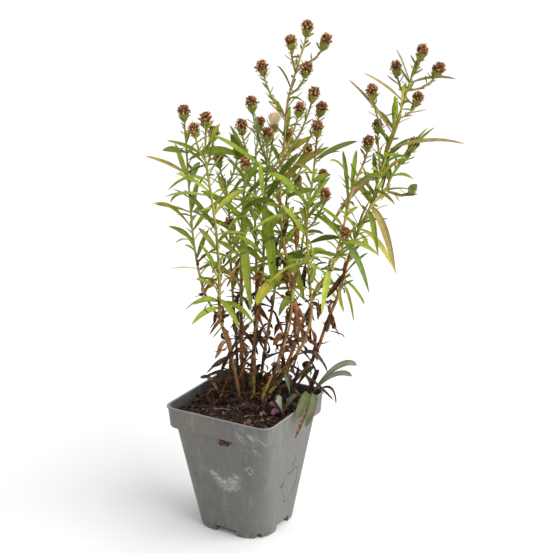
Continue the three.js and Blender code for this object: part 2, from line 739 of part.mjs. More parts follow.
const group = new THREE.Group();
group.add(toMesh('pot', pot, 'pot', 0.55));
group.add(toMesh('soil', soil, 'soil', 0.95));
growing.forEach(({ name, colour }) => {
  const pieces = placed.filter((piece) => piece.owner === name).map((piece) => piece.solid);
  group.add(toMesh(name, Manifold.union(pieces), colour, 0.7));
});
tufts.forEach(({ colour, solid }, index) => {
  const label = String(index + 1).padStart(2, '0');
  group.add(toMesh(`head_${label}`, solid, colour, 0.9));
});

// The origin is under the middle of the whole part's box
const middle = new THREE.Box3().setFromObject(group).getCenter(at(0, 0, 0));
group.position.set(-middle.x, -middle.y, 0);

export default group;
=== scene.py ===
# A potted aster after flowering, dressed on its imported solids: a square nursery pot, soil with bark and
# litter, leafy stems with spent heads, one ripe head and young shoots. The tables are in millimetres from
# the pot's axis at the floor, given across, deep and up, in axes that are turned on the pot.
import math

import bpy
import numpy as np
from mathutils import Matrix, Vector


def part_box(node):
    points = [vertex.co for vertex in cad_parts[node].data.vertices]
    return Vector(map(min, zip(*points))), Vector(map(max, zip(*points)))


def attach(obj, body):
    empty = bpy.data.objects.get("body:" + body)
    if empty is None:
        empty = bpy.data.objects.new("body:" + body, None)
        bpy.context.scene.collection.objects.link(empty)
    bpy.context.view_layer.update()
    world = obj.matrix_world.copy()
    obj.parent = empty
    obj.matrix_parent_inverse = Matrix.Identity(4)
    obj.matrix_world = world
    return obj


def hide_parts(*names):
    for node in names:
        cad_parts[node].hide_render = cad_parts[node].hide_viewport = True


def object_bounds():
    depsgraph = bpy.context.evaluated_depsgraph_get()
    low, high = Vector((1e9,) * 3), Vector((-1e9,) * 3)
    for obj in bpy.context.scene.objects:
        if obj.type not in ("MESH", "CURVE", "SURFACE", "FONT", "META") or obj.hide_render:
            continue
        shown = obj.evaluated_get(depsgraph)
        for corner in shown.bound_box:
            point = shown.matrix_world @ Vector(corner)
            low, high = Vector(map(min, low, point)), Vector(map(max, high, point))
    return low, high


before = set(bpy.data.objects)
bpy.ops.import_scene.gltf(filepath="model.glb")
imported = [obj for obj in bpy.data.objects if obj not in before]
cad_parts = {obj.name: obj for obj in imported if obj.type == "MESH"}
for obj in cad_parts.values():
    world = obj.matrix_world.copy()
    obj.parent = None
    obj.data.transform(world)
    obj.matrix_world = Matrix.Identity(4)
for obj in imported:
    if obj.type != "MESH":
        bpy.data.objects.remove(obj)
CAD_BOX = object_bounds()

bl_info = {
    "name": "Potted aster",
    "version": (1, 0, 0),
    "blender": (4, 5, 0),
    "location": "View3D > Sidebar > Potted aster",
    "description": "Dresses a potted aster after flowering with its leaves, heads, soil and pot",
    "category": "Add Mesh",
}

MM = 0.001
UP = np.array([0.0, 0.0, 1.0])
PLANT_TURN = math.radians(29.8)
ACROSS = np.array([math.cos(PLANT_TURN), math.sin(PLANT_TURN), 0.0])
DEEP = np.array([-math.sin(PLANT_TURN), math.cos(PLANT_TURN), 0.0])
GOLDEN = math.radians(137.508)

pot_corners = np.array(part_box("pot"))
POT_AXIS = np.array([*pot_corners[:, :2].mean(axis=0), 0.0])
ROOM = (np.array(CAD_BOX) - POT_AXIS) / MM
ROOM_MARGIN = 1.5

# The pot, as in its solid
POT_HEIGHT = 99.0
RIM_HALF = 45.0
BAND_HALF = 43.9
FOOT_HALF = 30.5
NECK_HALF = 40.6
BAND_BOTTOM = 83.0
WALL = 1.0
RIM_CORNER = 8.6
FOOT_CORNER = 19.3
CHANNEL_HALF = 9.2
CHANNEL_HEIGHT = 4.8
DRAIN_RADIUS = 2.0
DRAIN_SINK = 3.0
FLOOR_TOP = 6.0
FIT_GAP = 0.3
SOIL_EDGE = 88.0
SOIL_LEVEL = 90.0
SOIL_MOUND = 1.6
SOIL_ROUGHNESS = 1.3

# The plant, as in its solids
STEM_FOOT = 78.0
STEM_NECK = 88.0
STEM_COLLAR = 96.0
CURVE_STEP = 16.0
SHOOT_NECK = 91.0
SHOOT_TOP = 94.0
SHOOT_LEAF_FOOT = 92.0
BRANCH_RADIUS = 0.8
BRANCH_BEND = 0.45
HEAD_CENTRE = 9.0
LEAF_ARCH = 0.1
DEPTH_TRIES = np.array([0, -4, 4, -8, 8, -13, 13])
TURN_TRIES = np.radians([0, 25, -25, 50, -50, 80, -80])
DRY_TOP = 176.0
GREEN_TOP = 286.0
MATCH = 0.08
STEM_SLIMMING = (0.92, 0.76)

# Leaves that follow the rule, by the height up to which they grow: length, width, reach outward, fall or
# rise, arch and the place of the bend. All share one range of rolls and one of twists, in degrees
LEAF_RULE = (
    (DRY_TOP, (17, 25), (4, 5.6), 0.55, (-0.8, -0.5), 0.5, 0.7),
    (GREEN_TOP, (22, 32), (4.4, 6), 0.82, (0.1, 0.6), 0.12, 0.5),
    (math.inf, (10, 14), (2.6, 3.2), 0.75, (0.6, 0.6), 0.12, 0.5),
)
ROLL_RANGE = (10, 45)
TWIST_RANGE = (-50, 50)

# Heights that the ends of dry leaves and the feet of leaves keep above, and where small leaves are longest
TIP_FLOOR = 91
LEAF_FLOOR = 93
FULLEST = 235
FULL_SPREAD = 110

# What lies on the soil: how far it reaches, the crumbs that cling to the pot, the moss and two seedlings with
# their numbers of blades, and the seeds of the draws for places, colours and broken sides
SOIL_REACH = 41
CLINGING_CRUMBS = 26
MOSS_PLACES = ((-36.5, -37), (35, 1), (37.5, 24))
MOSS_BLADES = (64, 14, 12)
LITTER_SEEDS = (4001, 977)
FIBRE_SEEDS = (5003, 1301)
CHIP_SEEDS = (7001, 1777, 9001)
CRUMB_SEEDS = (8101, 311, 9501)
MOSS_SEEDS = (6011, 2221)

# Levels and sides of chips and stalks, and how far apart the noise's seeds lie along each axis
CHIP_LEVELS = 6
CHIP_SIDES = 7
STALK_SIDES = 10
LATTICE = np.array([12.7, 31.1, 7.47])

# The pot's wall from the foot to the inner floor: heights on its straight parts, and half widths with
# heights on the band, the lip and the band's inside. The inside widens into the band at a step
WALL_HEIGHTS = (5.2, 12, 24, 36, 48, 60, 72, 80)
BAND_PROFILE = (
    (40.45, 82.4), (40.8, 82.9), (41.3, 83), (43.3, 83), (43.75, 83.15), (43.9, 83.6), (44.1, 90),
    (44.35, 96.2), (44.45, 96.8), (44.8, 97.1), (45, 97.5), (45, 98.3), (44.9, 98.75), (44.6, 99),
    (43.95, 99), (43.6, 98.8),
)
BAND_STEP = 84.0
INSIDE_BAND = ((43.45, 98.4), (43.35, 96), (43, 86), (42.9, BAND_STEP))
INNER_HEIGHTS = (BAND_STEP, 60, 30, FLOOR_TOP)
INNER_RINGS = len(INSIDE_BAND) + len(INNER_HEIGHTS) + 1

# The half width where the pot's rings close, the steps round a corner and along a side of the pot and of the
# soil, the points round a foot's corner and the length of its straight sides, and the rings on the soil
HUB = 0.6
POT_STEPS = (14, 14)
SOIL_STEPS = (12, 40)
FOOT_ARC = 46
FOOT_SIDE = 6.0
SOIL_RINGS = 150

# A head, by radius and height on its axis: the cup, the heart of its florets, the heart of ripe down, and
# the foot, bend and tip of three rows of bracts
CUP_BODY = ((0.8, 0.1), (1.4, 0.9), (2, 2.2), (2.4, 3.6), (2.7, 4.8), (2.6, 5.6), (0.6, 5.4))
FLORET_HEART = ((1.4, 4.6), (2.5, 6), (2.7, 7.6), (2.3, 9.2), (1.3, 10.1), (0.3, 10.4))
DOWN_HEART = ((1.6, 4.9), (2.5, 6.5), (2.9, 8.8), (2.8, 11), (2, 12.4), (0.4, 12.9))
BRACT_FEET = np.array([(1.2, 0.6), (1.9, 2), (2.3, 3.2)])
BRACT_BENDS = np.array([(2.3, 2.2), (2.8, 3.8), (3.1, 5)])
BRACT_TIPS = np.array([(2.6, 4.2), (3.1, 6), (3.5, 7.4)])
BRACTS = 39
STRAY_BRACTS = 5
BUD_BRACTS = 12
RIPE_HEAD = 12
DOWN_SEED = 811

STEMS = {
    "stem_left": {
        "radii": (1.7, 1), "root": (-6, 12), "foliage": (122, 270, 15, 21),
        "route": [
            (-12, 14, 130), (-19, 8, 159), (-19, 2, 190), (-20, -4, 222), (-23, -8, 252), (-26, -10, 275),
            (-28, -12, 290),
        ],
        "heads": [(284, (-26, -12, 312), 1), (280, (-34, -19, 306), 0.95), (276, (-21, -3, 301), 0.95)],
        "leaves": [
            (284, (-53, -16, 296), 3.2, 0, 40, "green"), (266, (-53, -18, 261), 3, 9, 30, "green"),
            (229, (-42, -14, 261), 4, 0, 60, "deep"), (198, (-22, -8, 240), 5.6, 0, 70, "green"),
            (193, (-32, -8, 220), 4.2, 0, 60, "green"), (172, (-38, -4, 173), 4.4, 4, 50, "green"),
            (167, (-40, 0, 156), 4.4, 5, 50, "lime"), (174, (-4, -8, 155), 4.4, 6, 60, "lime"),
            (171, (6, -2, 158), 4, 8, 40, "green"), (126, (-30, 6, 116), 6, 8, 40, "dead"),
            (112, (-30, 20, 104), 5, 6, 40, "dead"), (284, (-16, -16, 308), 4.2, 0, 60, "lime"),
        ],
        "forks": [{
            "radii": (1.1, 0.85), "foliage": (196, 286, 22, 11),
            "route": [
                (-19, 8, 157), (-28, 10, 172), (-33, 9, 188), (-36, 8, 206), (-38, 6, 224), (-39, 3, 246),
                (-40, 1, 268), (-41, 0, 296),
            ],
            "heads": [(294, (-42, 0, 315), 1)],
            "leaves": [
                (268, (-69, -6, 283), 3.4, 0, 40, "olive"), (227, (-65, -2, 248), 3.2, 9, 40, "olive"),
                (240, (-34, 16, 262), 4, 0, 50, "green"),
            ],
        }],
    },
    "stem_dark_left": {
        "radii": (1.5, 0.9), "root": (-7, 34), "foliage": (108, 250, 12, 31),
        "route": [(-9, 40, 138), (-12, 44, 185), (-13, 46, 228), (-16, 46, 256)],
        "heads": [(252, (-21, 47, 272), 0.95), (248, (-6, 56, 276), 0.9)],
        "leaves": [(150, (-30, 44, 132), 5, 10, 30, "rust")],
    },
    "stem_thick_left": {
        "radii": (2.1, 1), "root": (-3, 27), "foliage": (112, 276, 15, 41),
        "route": [(-4, 28, 126), (-4, 24, 168), (-3, 18, 204), (-2, 12, 236), (0, 8, 263), (2, 4, 286)],
        "heads": [(284, (-2, 0, 305), 1), (256, (1, -12, 281), 0.95), (208, (-11, 4, 234), 0.9)],
        "leaves": [
            (278, (-40, -2, 279), 6.4, 9, 40, "green"), (234, (-31, 0, 257), 5.2, 0, 60, "green"),
            (274, (-10, 6, 296), 6.6, 0, 70, "deep"), (218, (4, 6, 163), 8, 16, 70, "lime"),
            (240, (22, -6, 252), 5, 4, 50, "deep"),
        ],
    },
    "stem_inner": {
        "radii": (1.6, 0.95), "root": (5, 18), "foliage": (110, 240, 15, 51),
        "route": [(6, 18, 134), (10, 14, 167), (13, 10, 203), (13, 8, 237), (15, 6, 261), (16, 5, 282)],
        "heads": [
            (280, (16, 3, 299), 1), (276, (5, 8, 320), 1), (270, (21, 13, 305), 0.95),
            (266, (39, -1, 317), 0.95), (262, (49, 5, 327), 1), (256, (55, 15, 315), 1),
        ],
        "leaves": [
            (245, (21, 0, 180), 8, 18, 70, "green"), (244, (38, -8, 286), 6.8, 0, 60, "deep"),
            (270, (-24, -4, 300), 4, 0, 50, "green"), (276, (7, -6, 316), 5, 0, 60, "blue"),
            (206, (-6, -6, 226), 5, 0, 50, "green"),
        ],
    },
    "stem_tall": {
        "radii": (1.8, 0.9), "root": (13, 24), "foliage": (116, 330, 16, 71),
        "route": [
            (25, 22, 107), (33, 18, 125), (39, 14, 150), (35, 14, 171), (31, 16, 196), (27, 18, 220),
            (25, 20, 242), (26, 20, 264), (28, 20, 286), (29, 20, 304), (31, 20, 320), (36, 20, 338),
            (41, 20, 354),
        ],
        "heads": [
            (352, (44, 20, 371), 1), (338, (32, 12, 362), 0.95), (342, (58, 27, 361), 1),
            (322, (44, 11, 343), 1), (306, (12, 14, 344), 1),
        ],
        "leaves": [
            (204, (43, 6, 172), 5.8, 12, 50, "lime"), (228, (0, 4, 248), 5.2, 0, 50, "green"),
            (260, (60, 8, 287), 5.8, 0, 50, "olive"), (184, (7, 26, 160), 5.8, 12, 50, "yellow"),
            (303, (17, 12, 318), 3, 0, 40, "olive"), (118, (66, 6, 95), 3.4, 22, 30, "dead"),
        ],
        "forks": [{
            "radii": (1.2, 0.9), "foliage": (176, 270, 17, 61),
            "route": [
                (39, 14, 149), (46, 16, 162), (54, 12, 183), (63, 3, 200), (68, -4, 222), (72, -8, 242),
                (76, -10, 261), (83, -13, 280),
            ],
            "heads": [(278, (86, -14, 296), 1), (208, (71, -15, 231), 0.95)],
            "leaves": [
                (198, (55, -8, 166), 5.8, 12, 60, "lime"), (222, (89, -12, 184), 4.6, 14, 50, "blue"),
                (232, (52, -14, 250), 4, 0, 50, "green"), (262, (98, -18, 272), 4, 4, 40, "green"),
            ],
        }],
    },
    "stem_right": {
        "radii": (1.9, 0.85), "root": (25, 24), "foliage": (116, 300, 16, 91),
        "route": [
            (33, 26, 100), (43, 27, 109), (52, 27, 123), (61, 27, 150), (69, 26, 172), (75, 23, 198),
            (83, 19, 224), (91, 15, 243), (96, 10, 266), (100, 6, 281), (104, 4, 297), (108, 2, 310),
            (112, 0, 325), (116, -3, 340),
        ],
        "heads": [
            (338, (122, -4, 357), 1), (324, (105, 5, 345), 0.95), (328, (134, -7, 345), 1),
            (290, (88, -5, 330), 1), (308, (122, 7, 323), 0.95), (268, (94, 13, 303), 0.9),
        ],
        "leaves": [
            (224, (111, 8, 191), 4, 10, 40, "yellow"), (242, (109, 4, 195), 5.2, 14, 60, "pink"),
            (238, (96, 2, 208), 5, 12, 60, "lime"), (266, (59, -10, 230), 3.4, 10, 40, "tan"),
            (285, (155, 2, 290), 3.2, 4, 40, "pink"), (297, (72, -4, 336), 3.6, 0, 40, "pink"),
            (320, (82, -8, 341), 2.6, 0, 40, "olive"), (333, (145, -9, 337), 2.6, 2, 40, "pink"),
            (334, (104, -6, 357), 2.4, 0, 40, "pink"), (267, (109, -6, 311), 5.6, 0, 70, "olive"),
        ],
        "forks": [{
            "radii": (1, 0.8), "foliage": (258, 266, 12, 81),
            "route": [(92, 14, 244), (101, 18, 252), (106, 21, 263), (112, 23, 274)],
            "heads": [(270, (122, 24, 288), 1)],
            "buds": [(254, (123, 14, 258), 0.9)],
            "leaves": [
                (270, (130, 16, 300), 3, 0, 40, "green"), (262, (138, 28, 296), 2.6, 4, 40, "green"),
            ],
        }],
    },
    "stem_middle": {
        "radii": (1.6, 0.9), "root": (17, 15), "foliage": (112, 270, 15, 101),
        "route": [
            (24, 16, 105), (33, 13, 121), (43, 8, 141), (48, 4, 162), (47, 3, 184), (45, 2, 212),
            (44, 1, 231), (46, 0, 250), (48, 0, 265), (50, 0, 286),
        ],
        "heads": [(284, (51, 0, 304), 1), (228, (57, -9, 258), 0.95)],
        "leaves": [
            (279, (79, -8, 294), 4.4, 0, 50, "blue"), (244, (16, -12, 272), 5.2, 7, 50, "green"),
            (234, (2, -16, 228), 3.4, 13, 40, "lime"), (222, (26, -10, 249), 5.2, 0, 60, "lime"),
            (127, (61, 12, 114), 3.6, 24, 40, "dead"),
        ],
    },
    "stem_front": {
        "radii": (1.3, 0.9), "root": (12, 7), "foliage": (112, 178, 12, 111),
        "route": [(20, 8, 116), (28, 6, 138), (33, 3, 160), (34, 0, 182)],
        "leaves": [
            (178, (44, -8, 160), 5, 8, 50, "rust"), (176, (24, -10, 166), 5, 8, 60, "deep"),
            (180, (38, -8, 200), 4, 0, 60, "rust"),
        ],
    },
    "stem_back": {
        "radii": (1.7, 0.95), "root": (10, 33), "foliage": (110, 254, 11, 121),
        "route": [(14, 38, 127), (19, 41, 154), (23, 44, 186), (28, 46, 224), (33, 46, 262)],
        "heads": [(258, (31, 42, 291), 0.95), (250, (46, 52, 278), 0.9)],
        "leaves": [(200, (46, 60, 216), 5.4, 6, 40, "green")],
    },
    "stem_back_middle": {
        "radii": (1.7, 0.95), "root": (2, 35), "foliage": (110, 268, 11, 131),
        "route": [(6, 46, 137), (7, 54, 184), (6, 60, 230), (7, 61, 276)],
        "heads": [(274, (10, 60, 297), 0.95)],
        "leaves": [(210, (-14, 70, 224), 5.4, 6, 40, "green")],
    },
    "stem_back_right": {
        "radii": (1.6, 0.9), "root": (18, 29), "foliage": (110, 226, 11, 141),
        "route": [(27, 38, 126), (36, 50, 168), (43, 60, 206), (46, 64, 234)],
        "heads": [(230, (38, 66, 252), 0.9), (226, (58, 66, 256), 0.9)],
        "leaves": [(190, (66, 60, 190), 5.4, 10, 40, "lime")],
    },
}

SHOOTS = {
    "shoot_front": {
        "base": (27, -17),
        "leaves": [
            ((20, -20, 104), (18.5, -22, 102), 4.6, "plum"), ((24, -18, 108), (22, -16, 104), 6, "sage"),
            ((32, -16, 106), (38, -14, 107), 5.4, "dusky"), ((23, -25, 102), (19, -28, 97), 4, "plum"),
        ],
    },
    "shoot_right": {
        "base": (46, 12),
        "leaves": [
            ((56, -7, 116), (43.5, -19.5, 83), 8, "dusky"), ((49, -14, 118), (36.5, -33, 95), 9, "dusky"),
            ((68, 12, 128), (83, 13, 119.5), 5.4, "sage"), ((64, 9, 121), (79, 6, 113.5), 4.8, "sage"),
            ((50, 12, 106), (54.5, 12, 116.5), 5.4, "plum"),
            ((66, 12, 114), (67.4, 8, 90), 3.4, "withered"), ((50, 13, 108), (44, 12, 111), 5, "dusky"),
            ((52, -14, 120), (35.5, -34, 80), 4.2, "withered"),
        ],
    },
    "shoot_back": {
        "base": (33, 17),
        "leaves": [
            ((30, 20, 116), (18, 18, 118), 6.4, "sage"), ((31, 24, 108), (34, 32, 104), 5, "dusky"),
            ((44, 20, 112), (51.5, 18, 117), 5, "dusky"), ((38, 14, 108), (39.5, 16, 117), 4, "plum"),
        ],
    },
    "shoot_left": {
        "base": (-20, 17),
        "leaves": [
            ((-28, 24, 112), (-36, 29, 103), 5, "withered"),
            ((-24, 12, 106), (-30, 5, 98), 4.4, "withered"),
            ((-14, 24, 110), (-9, 29, 103), 5, "withered"),
            ((-20, 26, 114), (-26, 34, 104), 4.4, "withered"),
        ],
    },
}

# The colours up each stem, at the soil, in the dry leaves, among the green leaves and at the top
STALKS = {
    "stem_left": ("bark", "russet", "straw", "moss_stem"),
    "stem_dark_left": ("bark", "bark", "moss_stem", "moss_stem"),
    "stem_thick_left": ("bark", "russet", "moss_stem", "moss_stem"),
    "stem_inner": ("moss_stem", "russet", "moss_stem", "moss_stem"),
    "stem_tall": ("straw", "amber", "hazel", "hazel"),
    "stem_right": ("russet", "russet", "straw", "straw"),
    "stem_middle": ("moss_stem", "amber", "straw", "moss_stem"),
    "stem_front": ("straw", "amber", "hazel", "hazel"),
    "stem_back": ("bark", "russet", "moss_stem", "moss_stem"),
    "stem_back_middle": ("straw", "russet", "moss_stem", "moss_stem"),
    "stem_back_right": ("bark", "bark", "moss_stem", "moss_stem"),
}
STALK_HEIGHTS = (92.0, 118.0, 215.0, 320.0)

# Leaves that only the scene has, most of them withered and hanging: height on the stem, tip, width and
# colour
ADDED_LEAVES = {
    "stem_left": [
        (214, (-36, 4, 201), 4, "rust"), (192, (-31, 6, 181), 5.5, "rust"),
        (126, (-27, 12, 116), 3.6, "dead"), (114, (-33, 20, 107), 3.4, "dead"),
        (134, (-14, 8, 108), 4, "umber"),
    ],
    "stem_thick_left": [
        (206, (-14, 6, 183), 4.6, "rust"), (166, (-5, 8, 139), 4.8, "umber"),
        (142, (-16, 16, 120), 4, "dead"),
    ],
    "stem_inner": [
        (202, (7, 14, 172), 5.4, "rust"), (176, (16, 4, 147), 5, "rust"), (150, (2, 6, 126), 3.6, "umber"),
    ],
    "stem_back": [
        (238, (27, 12, 219), 5.4, "umber"), (228, (36, 16, 204), 5, "rust"),
        (214, (24, 12, 196), 5, "umber"), (192, (34, 20, 172), 4.6, "umber"),
    ],
    "stem_tall": [
        (205, (34, 8, 174), 5, "rust"), (162, (40, 9, 133), 4.2, "rust"),
        (134, (52, 10, 112), 3.6, "dead"), (192, (8, 2, 171), 8, "spotted"),
    ],
    "stem_middle": [
        (152, (51, 15, 126), 5, "rust"), (168, (49, 13, 137), 5, "umber"),
        (204, (44, 12, 180), 4.4, "umber"),
    ],
    "stem_right": [
        (158, (66, 21, 146), 5.4, "umber"), (152, (59, 22, 143), 5, "umber"),
        (204, (71, 13, 184), 5, "rust"), (190, (58, 12, 172), 4.8, "umber"),
        (166, (62, 20, 158), 4, "umber"), (180, (73, 18, 160), 3, "yellow"),
        (182, (80, 16, 153), 3.6, "yellow"), (184, (88, 18, 166), 3.4, "green"),
        (190, (61, 16, 174), 4, "yellow"), (300, (107, 0, 322), 3.8, "green"),
        (312, (111, -4, 333), 3.6, "olive"), (322, (117, -5, 344), 3.2, "green"),
        (332, (121, -6, 352), 2.8, "pink"), (236, (98, 8, 262), 5, "lime"),
        (214, (70, 10, 236), 4.6, "lime"),
    ],
}


# Arrays of numbers and directions

def chance(seed):
    """A repeatable draw between 0 and 1 for each seed: what follows the point of a large sine."""
    wave = np.sin(np.asarray(seed, dtype=float) * 12.9898 + 4.1414) * 43758.5453
    return wave - np.floor(wave)


def draw_rows(seed, count, step, columns):
    """A row of draws for each of a count of things."""
    return chance(seed + np.arange(count)[:, None] * step + np.arange(columns))


def unit(vectors):
    """Vectors made one long."""
    return vectors / np.maximum(np.linalg.norm(vectors, axis=-1, keepdims=True), 1e-9)


def along(vectors, axis):
    """The share of vectors along an axis."""
    return np.sum(vectors * axis, axis=-1, keepdims=True)


def smooth(low, high, values):
    """A smooth step from 0 at low to 1 at high."""
    share = np.clip((values - low) / (high - low), 0, 1)
    return share * share * (3 - 2 * share)


def blend(low, high, share):
    """Colours or points between two others."""
    return low + (high - low) * np.asarray(share)[..., None]


def grown(points):
    """Points given across, deep and up, turned onto the pot's axes."""
    points = np.asarray(points, dtype=float)
    return points[..., :1] * ACROSS + points[..., 1:2] * DEEP + points[..., 2:] * UP


def ways(heading, rise):
    """Directions with a heading round the upright axis and a rise."""
    return np.stack(np.broadcast_arrays(np.cos(heading), np.sin(heading), rise), axis=1)


def bent(start, bend, end):
    """Midlines of leaves, each by its three control points."""
    return np.stack(np.broadcast_arrays(start, bend, end), axis=1)


def once_round(corners):
    """Even angles once round."""
    return np.linspace(0, 2 * math.pi, corners, endpoint=False)


def wound(turn, height):
    """Places on the surface of a round form: there and back as it turns, and up with its height."""
    return np.stack(np.broadcast_arrays(np.abs(turn / math.pi - 1), height), axis=-1)


def noise(points, size, seed):
    """Draws between -1 and 1 on a lattice of one size, blended by smooth steps between its corners."""
    place = points / size
    cell = np.floor(place)
    share = place - cell
    share = share * share * (3 - 2 * share)
    total = np.zeros(points.shape[:-1])
    for corner in np.ndindex(*(2,) * points.shape[-1]):
        weight = np.prod(np.where(np.array(corner) == 1, share, 1 - share), axis=-1)
        total += weight * chance((cell + corner) @ LATTICE[:points.shape[-1]] + seed)
    return total * 2 - 1


# Shells and pieces

def shells(rings, uv, tint, finish):
    """Closed shells through rings of points, given by shell, ring and corner. Quads join each ring to the
    next and a face closes each end. Rings turn counter-clockwise about the way they travel, so faces point
    out."""
    count, levels, corners = rings.shape[:3]
    index = np.arange(count * levels * corners).reshape(count, levels, corners)
    ahead = np.roll(index, -1, axis=2)
    quads = np.stack([index[:, :-1], ahead[:, :-1], ahead[:, 1:], index[:, 1:]], axis=-1)
    return {
        "points": rings.reshape(-1, 3),
        "quads": quads.reshape(-1, 4),
        "ends": np.concatenate([index[:, 0, ::-1], index[:, -1]]),
        "uv": np.broadcast_to(uv, (count, levels, corners, 2)).reshape(-1, 2),
        "tint": np.broadcast_to(tint, (count, levels, corners, 3)).reshape(-1, 3),
        "finish": finish,
    }


def make_piece(name, parts, finishes, nodes=(), sharp=50):
    """A mesh object of closed shells, in metres, that rides on the one body. Each point keeps its colour in
    the attribute Tint, and each face corner its place on the surface in the UV map Surface."""
    starts = np.cumsum([0] + [len(part["points"]) for part in parts])
    blocks = [
        (part[kind] + start, part["finish"])
        for part, start in zip(parts, starts) for kind in ("quads", "ends")
    ]
    corners = np.concatenate([faces.ravel() for faces, finish in blocks])
    sizes = np.concatenate([np.full(len(faces), faces.shape[1]) for faces, finish in blocks])
    finish_of = np.concatenate([np.full(len(faces), finish) for faces, finish in blocks])
    points = np.clip(np.concatenate([part["points"] for part in parts]) * MM + POT_AXIS, *CAD_BOX)
    tint = np.concatenate([part["tint"] for part in parts])
    mesh = bpy.data.meshes.new(name)
    mesh.vertices.add(len(points))
    mesh.vertices.foreach_set("co", points.ravel())
    mesh.loops.add(len(corners))
    mesh.loops.foreach_set("vertex_index", corners.astype(np.int32))
    mesh.polygons.add(len(sizes))
    mesh.polygons.foreach_set("loop_start", (np.cumsum(sizes) - sizes).astype(np.int32))
    mesh.polygons.foreach_set("material_index", finish_of.astype(np.int32))
    mesh.update(calc_edges=True)
    surface = mesh.uv_layers.new(name="Surface")
    surface.data.foreach_set("uv", np.concatenate([part["uv"] for part in parts])[corners].ravel())
    colour = mesh.color_attributes.new(name="Tint", type="FLOAT_COLOR", domain="POINT")
    colour.data.foreach_set("color", np.column_stack([tint, np.ones(len(tint))]).ravel())
    for finish in finishes:
        mesh.materials.append(bpy.data.materials[finish])
    mesh.shade_smooth()
    mesh.set_sharp_from_angle(angle=math.radians(sharp))
    piece = bpy.data.objects.new(name, mesh)
    bpy.context.scene.collection.objects.link(piece)
    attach(piece, "root")
    if nodes:
        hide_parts(*nodes)


def travel(paths, share):
    """Points and directions on quadratic curves with three control points each, at shares of their
    length."""
    start, bend, end = (paths[:, index, None] for index in range(3))
    share = share[None, :, None]
    middle = start * (1 - share) ** 2 + 2 * bend * share * (1 - share) + end * share ** 2
    return middle, unit((bend - start) * (1 - share) + (end - bend) * share)


def frames(paths, share, roll, twist):
    """Middle, side and face of strips along bent midlines: the side is level, then turned about the midline
    by a roll and by a twist that grows along it."""
    middle, way = travel(paths, share)
    outward = (paths[:, 2] - paths[:, 0]) * [1, 1, 0] + [1e-6, 0, 0]
    level = np.cross(UP, unit(outward))[:, None]
    level = unit(level - way * along(level, way))
    angle = (roll[:, None] + twist[:, None] * share)[..., None]
    side = level * np.cos(angle) + np.cross(way, level) * np.sin(angle)
    return middle, side, np.cross(way, side)


def blades(leaves, finish, levels=9, halves=2, thick=0.3):
    """Thin closed strips along bent midlines. The width follows share^low * (1 - share)^high, the section
    is an arc that curls up to its margins and thins out there, the midrib is a groove above and a ridge
    below, and the margins wave up and down. The colour runs from base to tip, with those of the margins and
    the underside blended in."""
    share = np.linspace(0, 1, levels)
    middle, side, face = frames(leaves["path"], share, leaves["roll"], leaves["twist"])
    low, high = leaves["belly"][:, :1], leaves["belly"][:, 1:]
    peak = low / (low + high)
    fill = (share ** low * (1 - share) ** high) / (peak ** low * (1 - peak) ** high)
    width = leaves["width"][:, None]
    half = np.maximum(width / 2 * fill, np.minimum(0.3, width / 8) * (1.15 - share))[..., None]
    top = np.linspace(1, -1, 2 * halves + 1)
    across = np.concatenate([top, top[-2:0:-1]])
    below = np.concatenate([np.zeros(len(top)), np.ones(len(top) - 2)])
    curl = np.maximum(leaves["curl"], 0.05)[:, None, None]
    turn = curl * across
    wave = leaves["wave"][:, None, None] * across ** 2
    wave = wave * np.sin(9 * share[None, :, None] + 40 * curl + 2.5 * across)
    sideways = half * np.sin(turn) / curl
    rise = half * ((1 - np.cos(turn)) / curl + wave)
    rib = np.exp(-(across / 0.18) ** 2) * (1 - 0.7 * share[:, None])
    depth = thick * (below * (np.sqrt(1 - across ** 2) + 0.7 * rib) + (1 - below) * 0.35 * rib)
    depth = depth * np.minimum(1, 2.4 * half / (thick * 4))
    points = middle[:, :, None] + side[:, :, None] * (sideways + depth * np.sin(turn))[..., None]
    points = points + face[:, :, None] * (rise - depth * np.cos(turn))[..., None]
    tip = smooth(leaves["dip"][:, None], 1.02, share[None])
    tint = blend(leaves["base"][:, None], leaves["tip"][:, None], tip)[:, :, None]
    tint = blend(tint, leaves["edge"][:, None, None], 0.85 * across ** 6)
    tint = blend(tint, leaves["under"][:, None, None], 0.6 * below)
    uv = np.stack(np.broadcast_arrays((across + 1) / 2, share[:, None]), axis=-1)
    return shells(points, uv, tint, finish)


def rods(paths, radius, tint, finish, levels=7, corners=5, taper=0.4, crook=0.0):
    """Round rods along bent midlines, each tapering to a share of its radius, with a wavy crook to the
    side."""
    share = np.linspace(0, 1, levels)
    still = np.zeros(len(paths))
    middle, side, face = frames(paths, share, still, still)
    sway = crook * np.sin(share * 7 + np.arange(len(paths))[:, None] * 2.4) * share
    middle = middle + side * sway[..., None]
    turn = once_round(corners)
    reach = radius[:, None, None] * (1 - (1 - taper) * share[None, :, None])
    points = middle[:, :, None] + side[:, :, None] * (reach * np.cos(turn))[..., None]
    points = points + face[:, :, None] * (reach * np.sin(turn))[..., None]
    uv = wound(turn, share[:, None])
    return shells(points, uv, tint[:, None, None], finish)


def stalk(points, radii, tint, finish):
    """A stem along points: a ring of slight ribs carried along them, a little wider where leaves stand."""
    way = unit(np.gradient(points, axis=0))
    side = unit(np.cross(ACROSS, way))
    face = np.cross(way, side)
    knot = 1 + 0.14 * np.maximum(0, np.sin(points[:, 2] * 0.44)) ** 6
    turn = once_round(STALK_SIDES)
    reach = (radii * knot)[:, None, None] * (1 + 0.05 * np.cos(5 * turn)[:, None])
    girth = side[:, None] * np.cos(turn)[:, None] + face[:, None] * np.sin(turn)[:, None]
    rings = points[:, None] + reach * girth
    uv = wound(turn, points[:, 2:3] * 0.1)
    return shells(rings[None], uv, tint[None, :, None], finish)


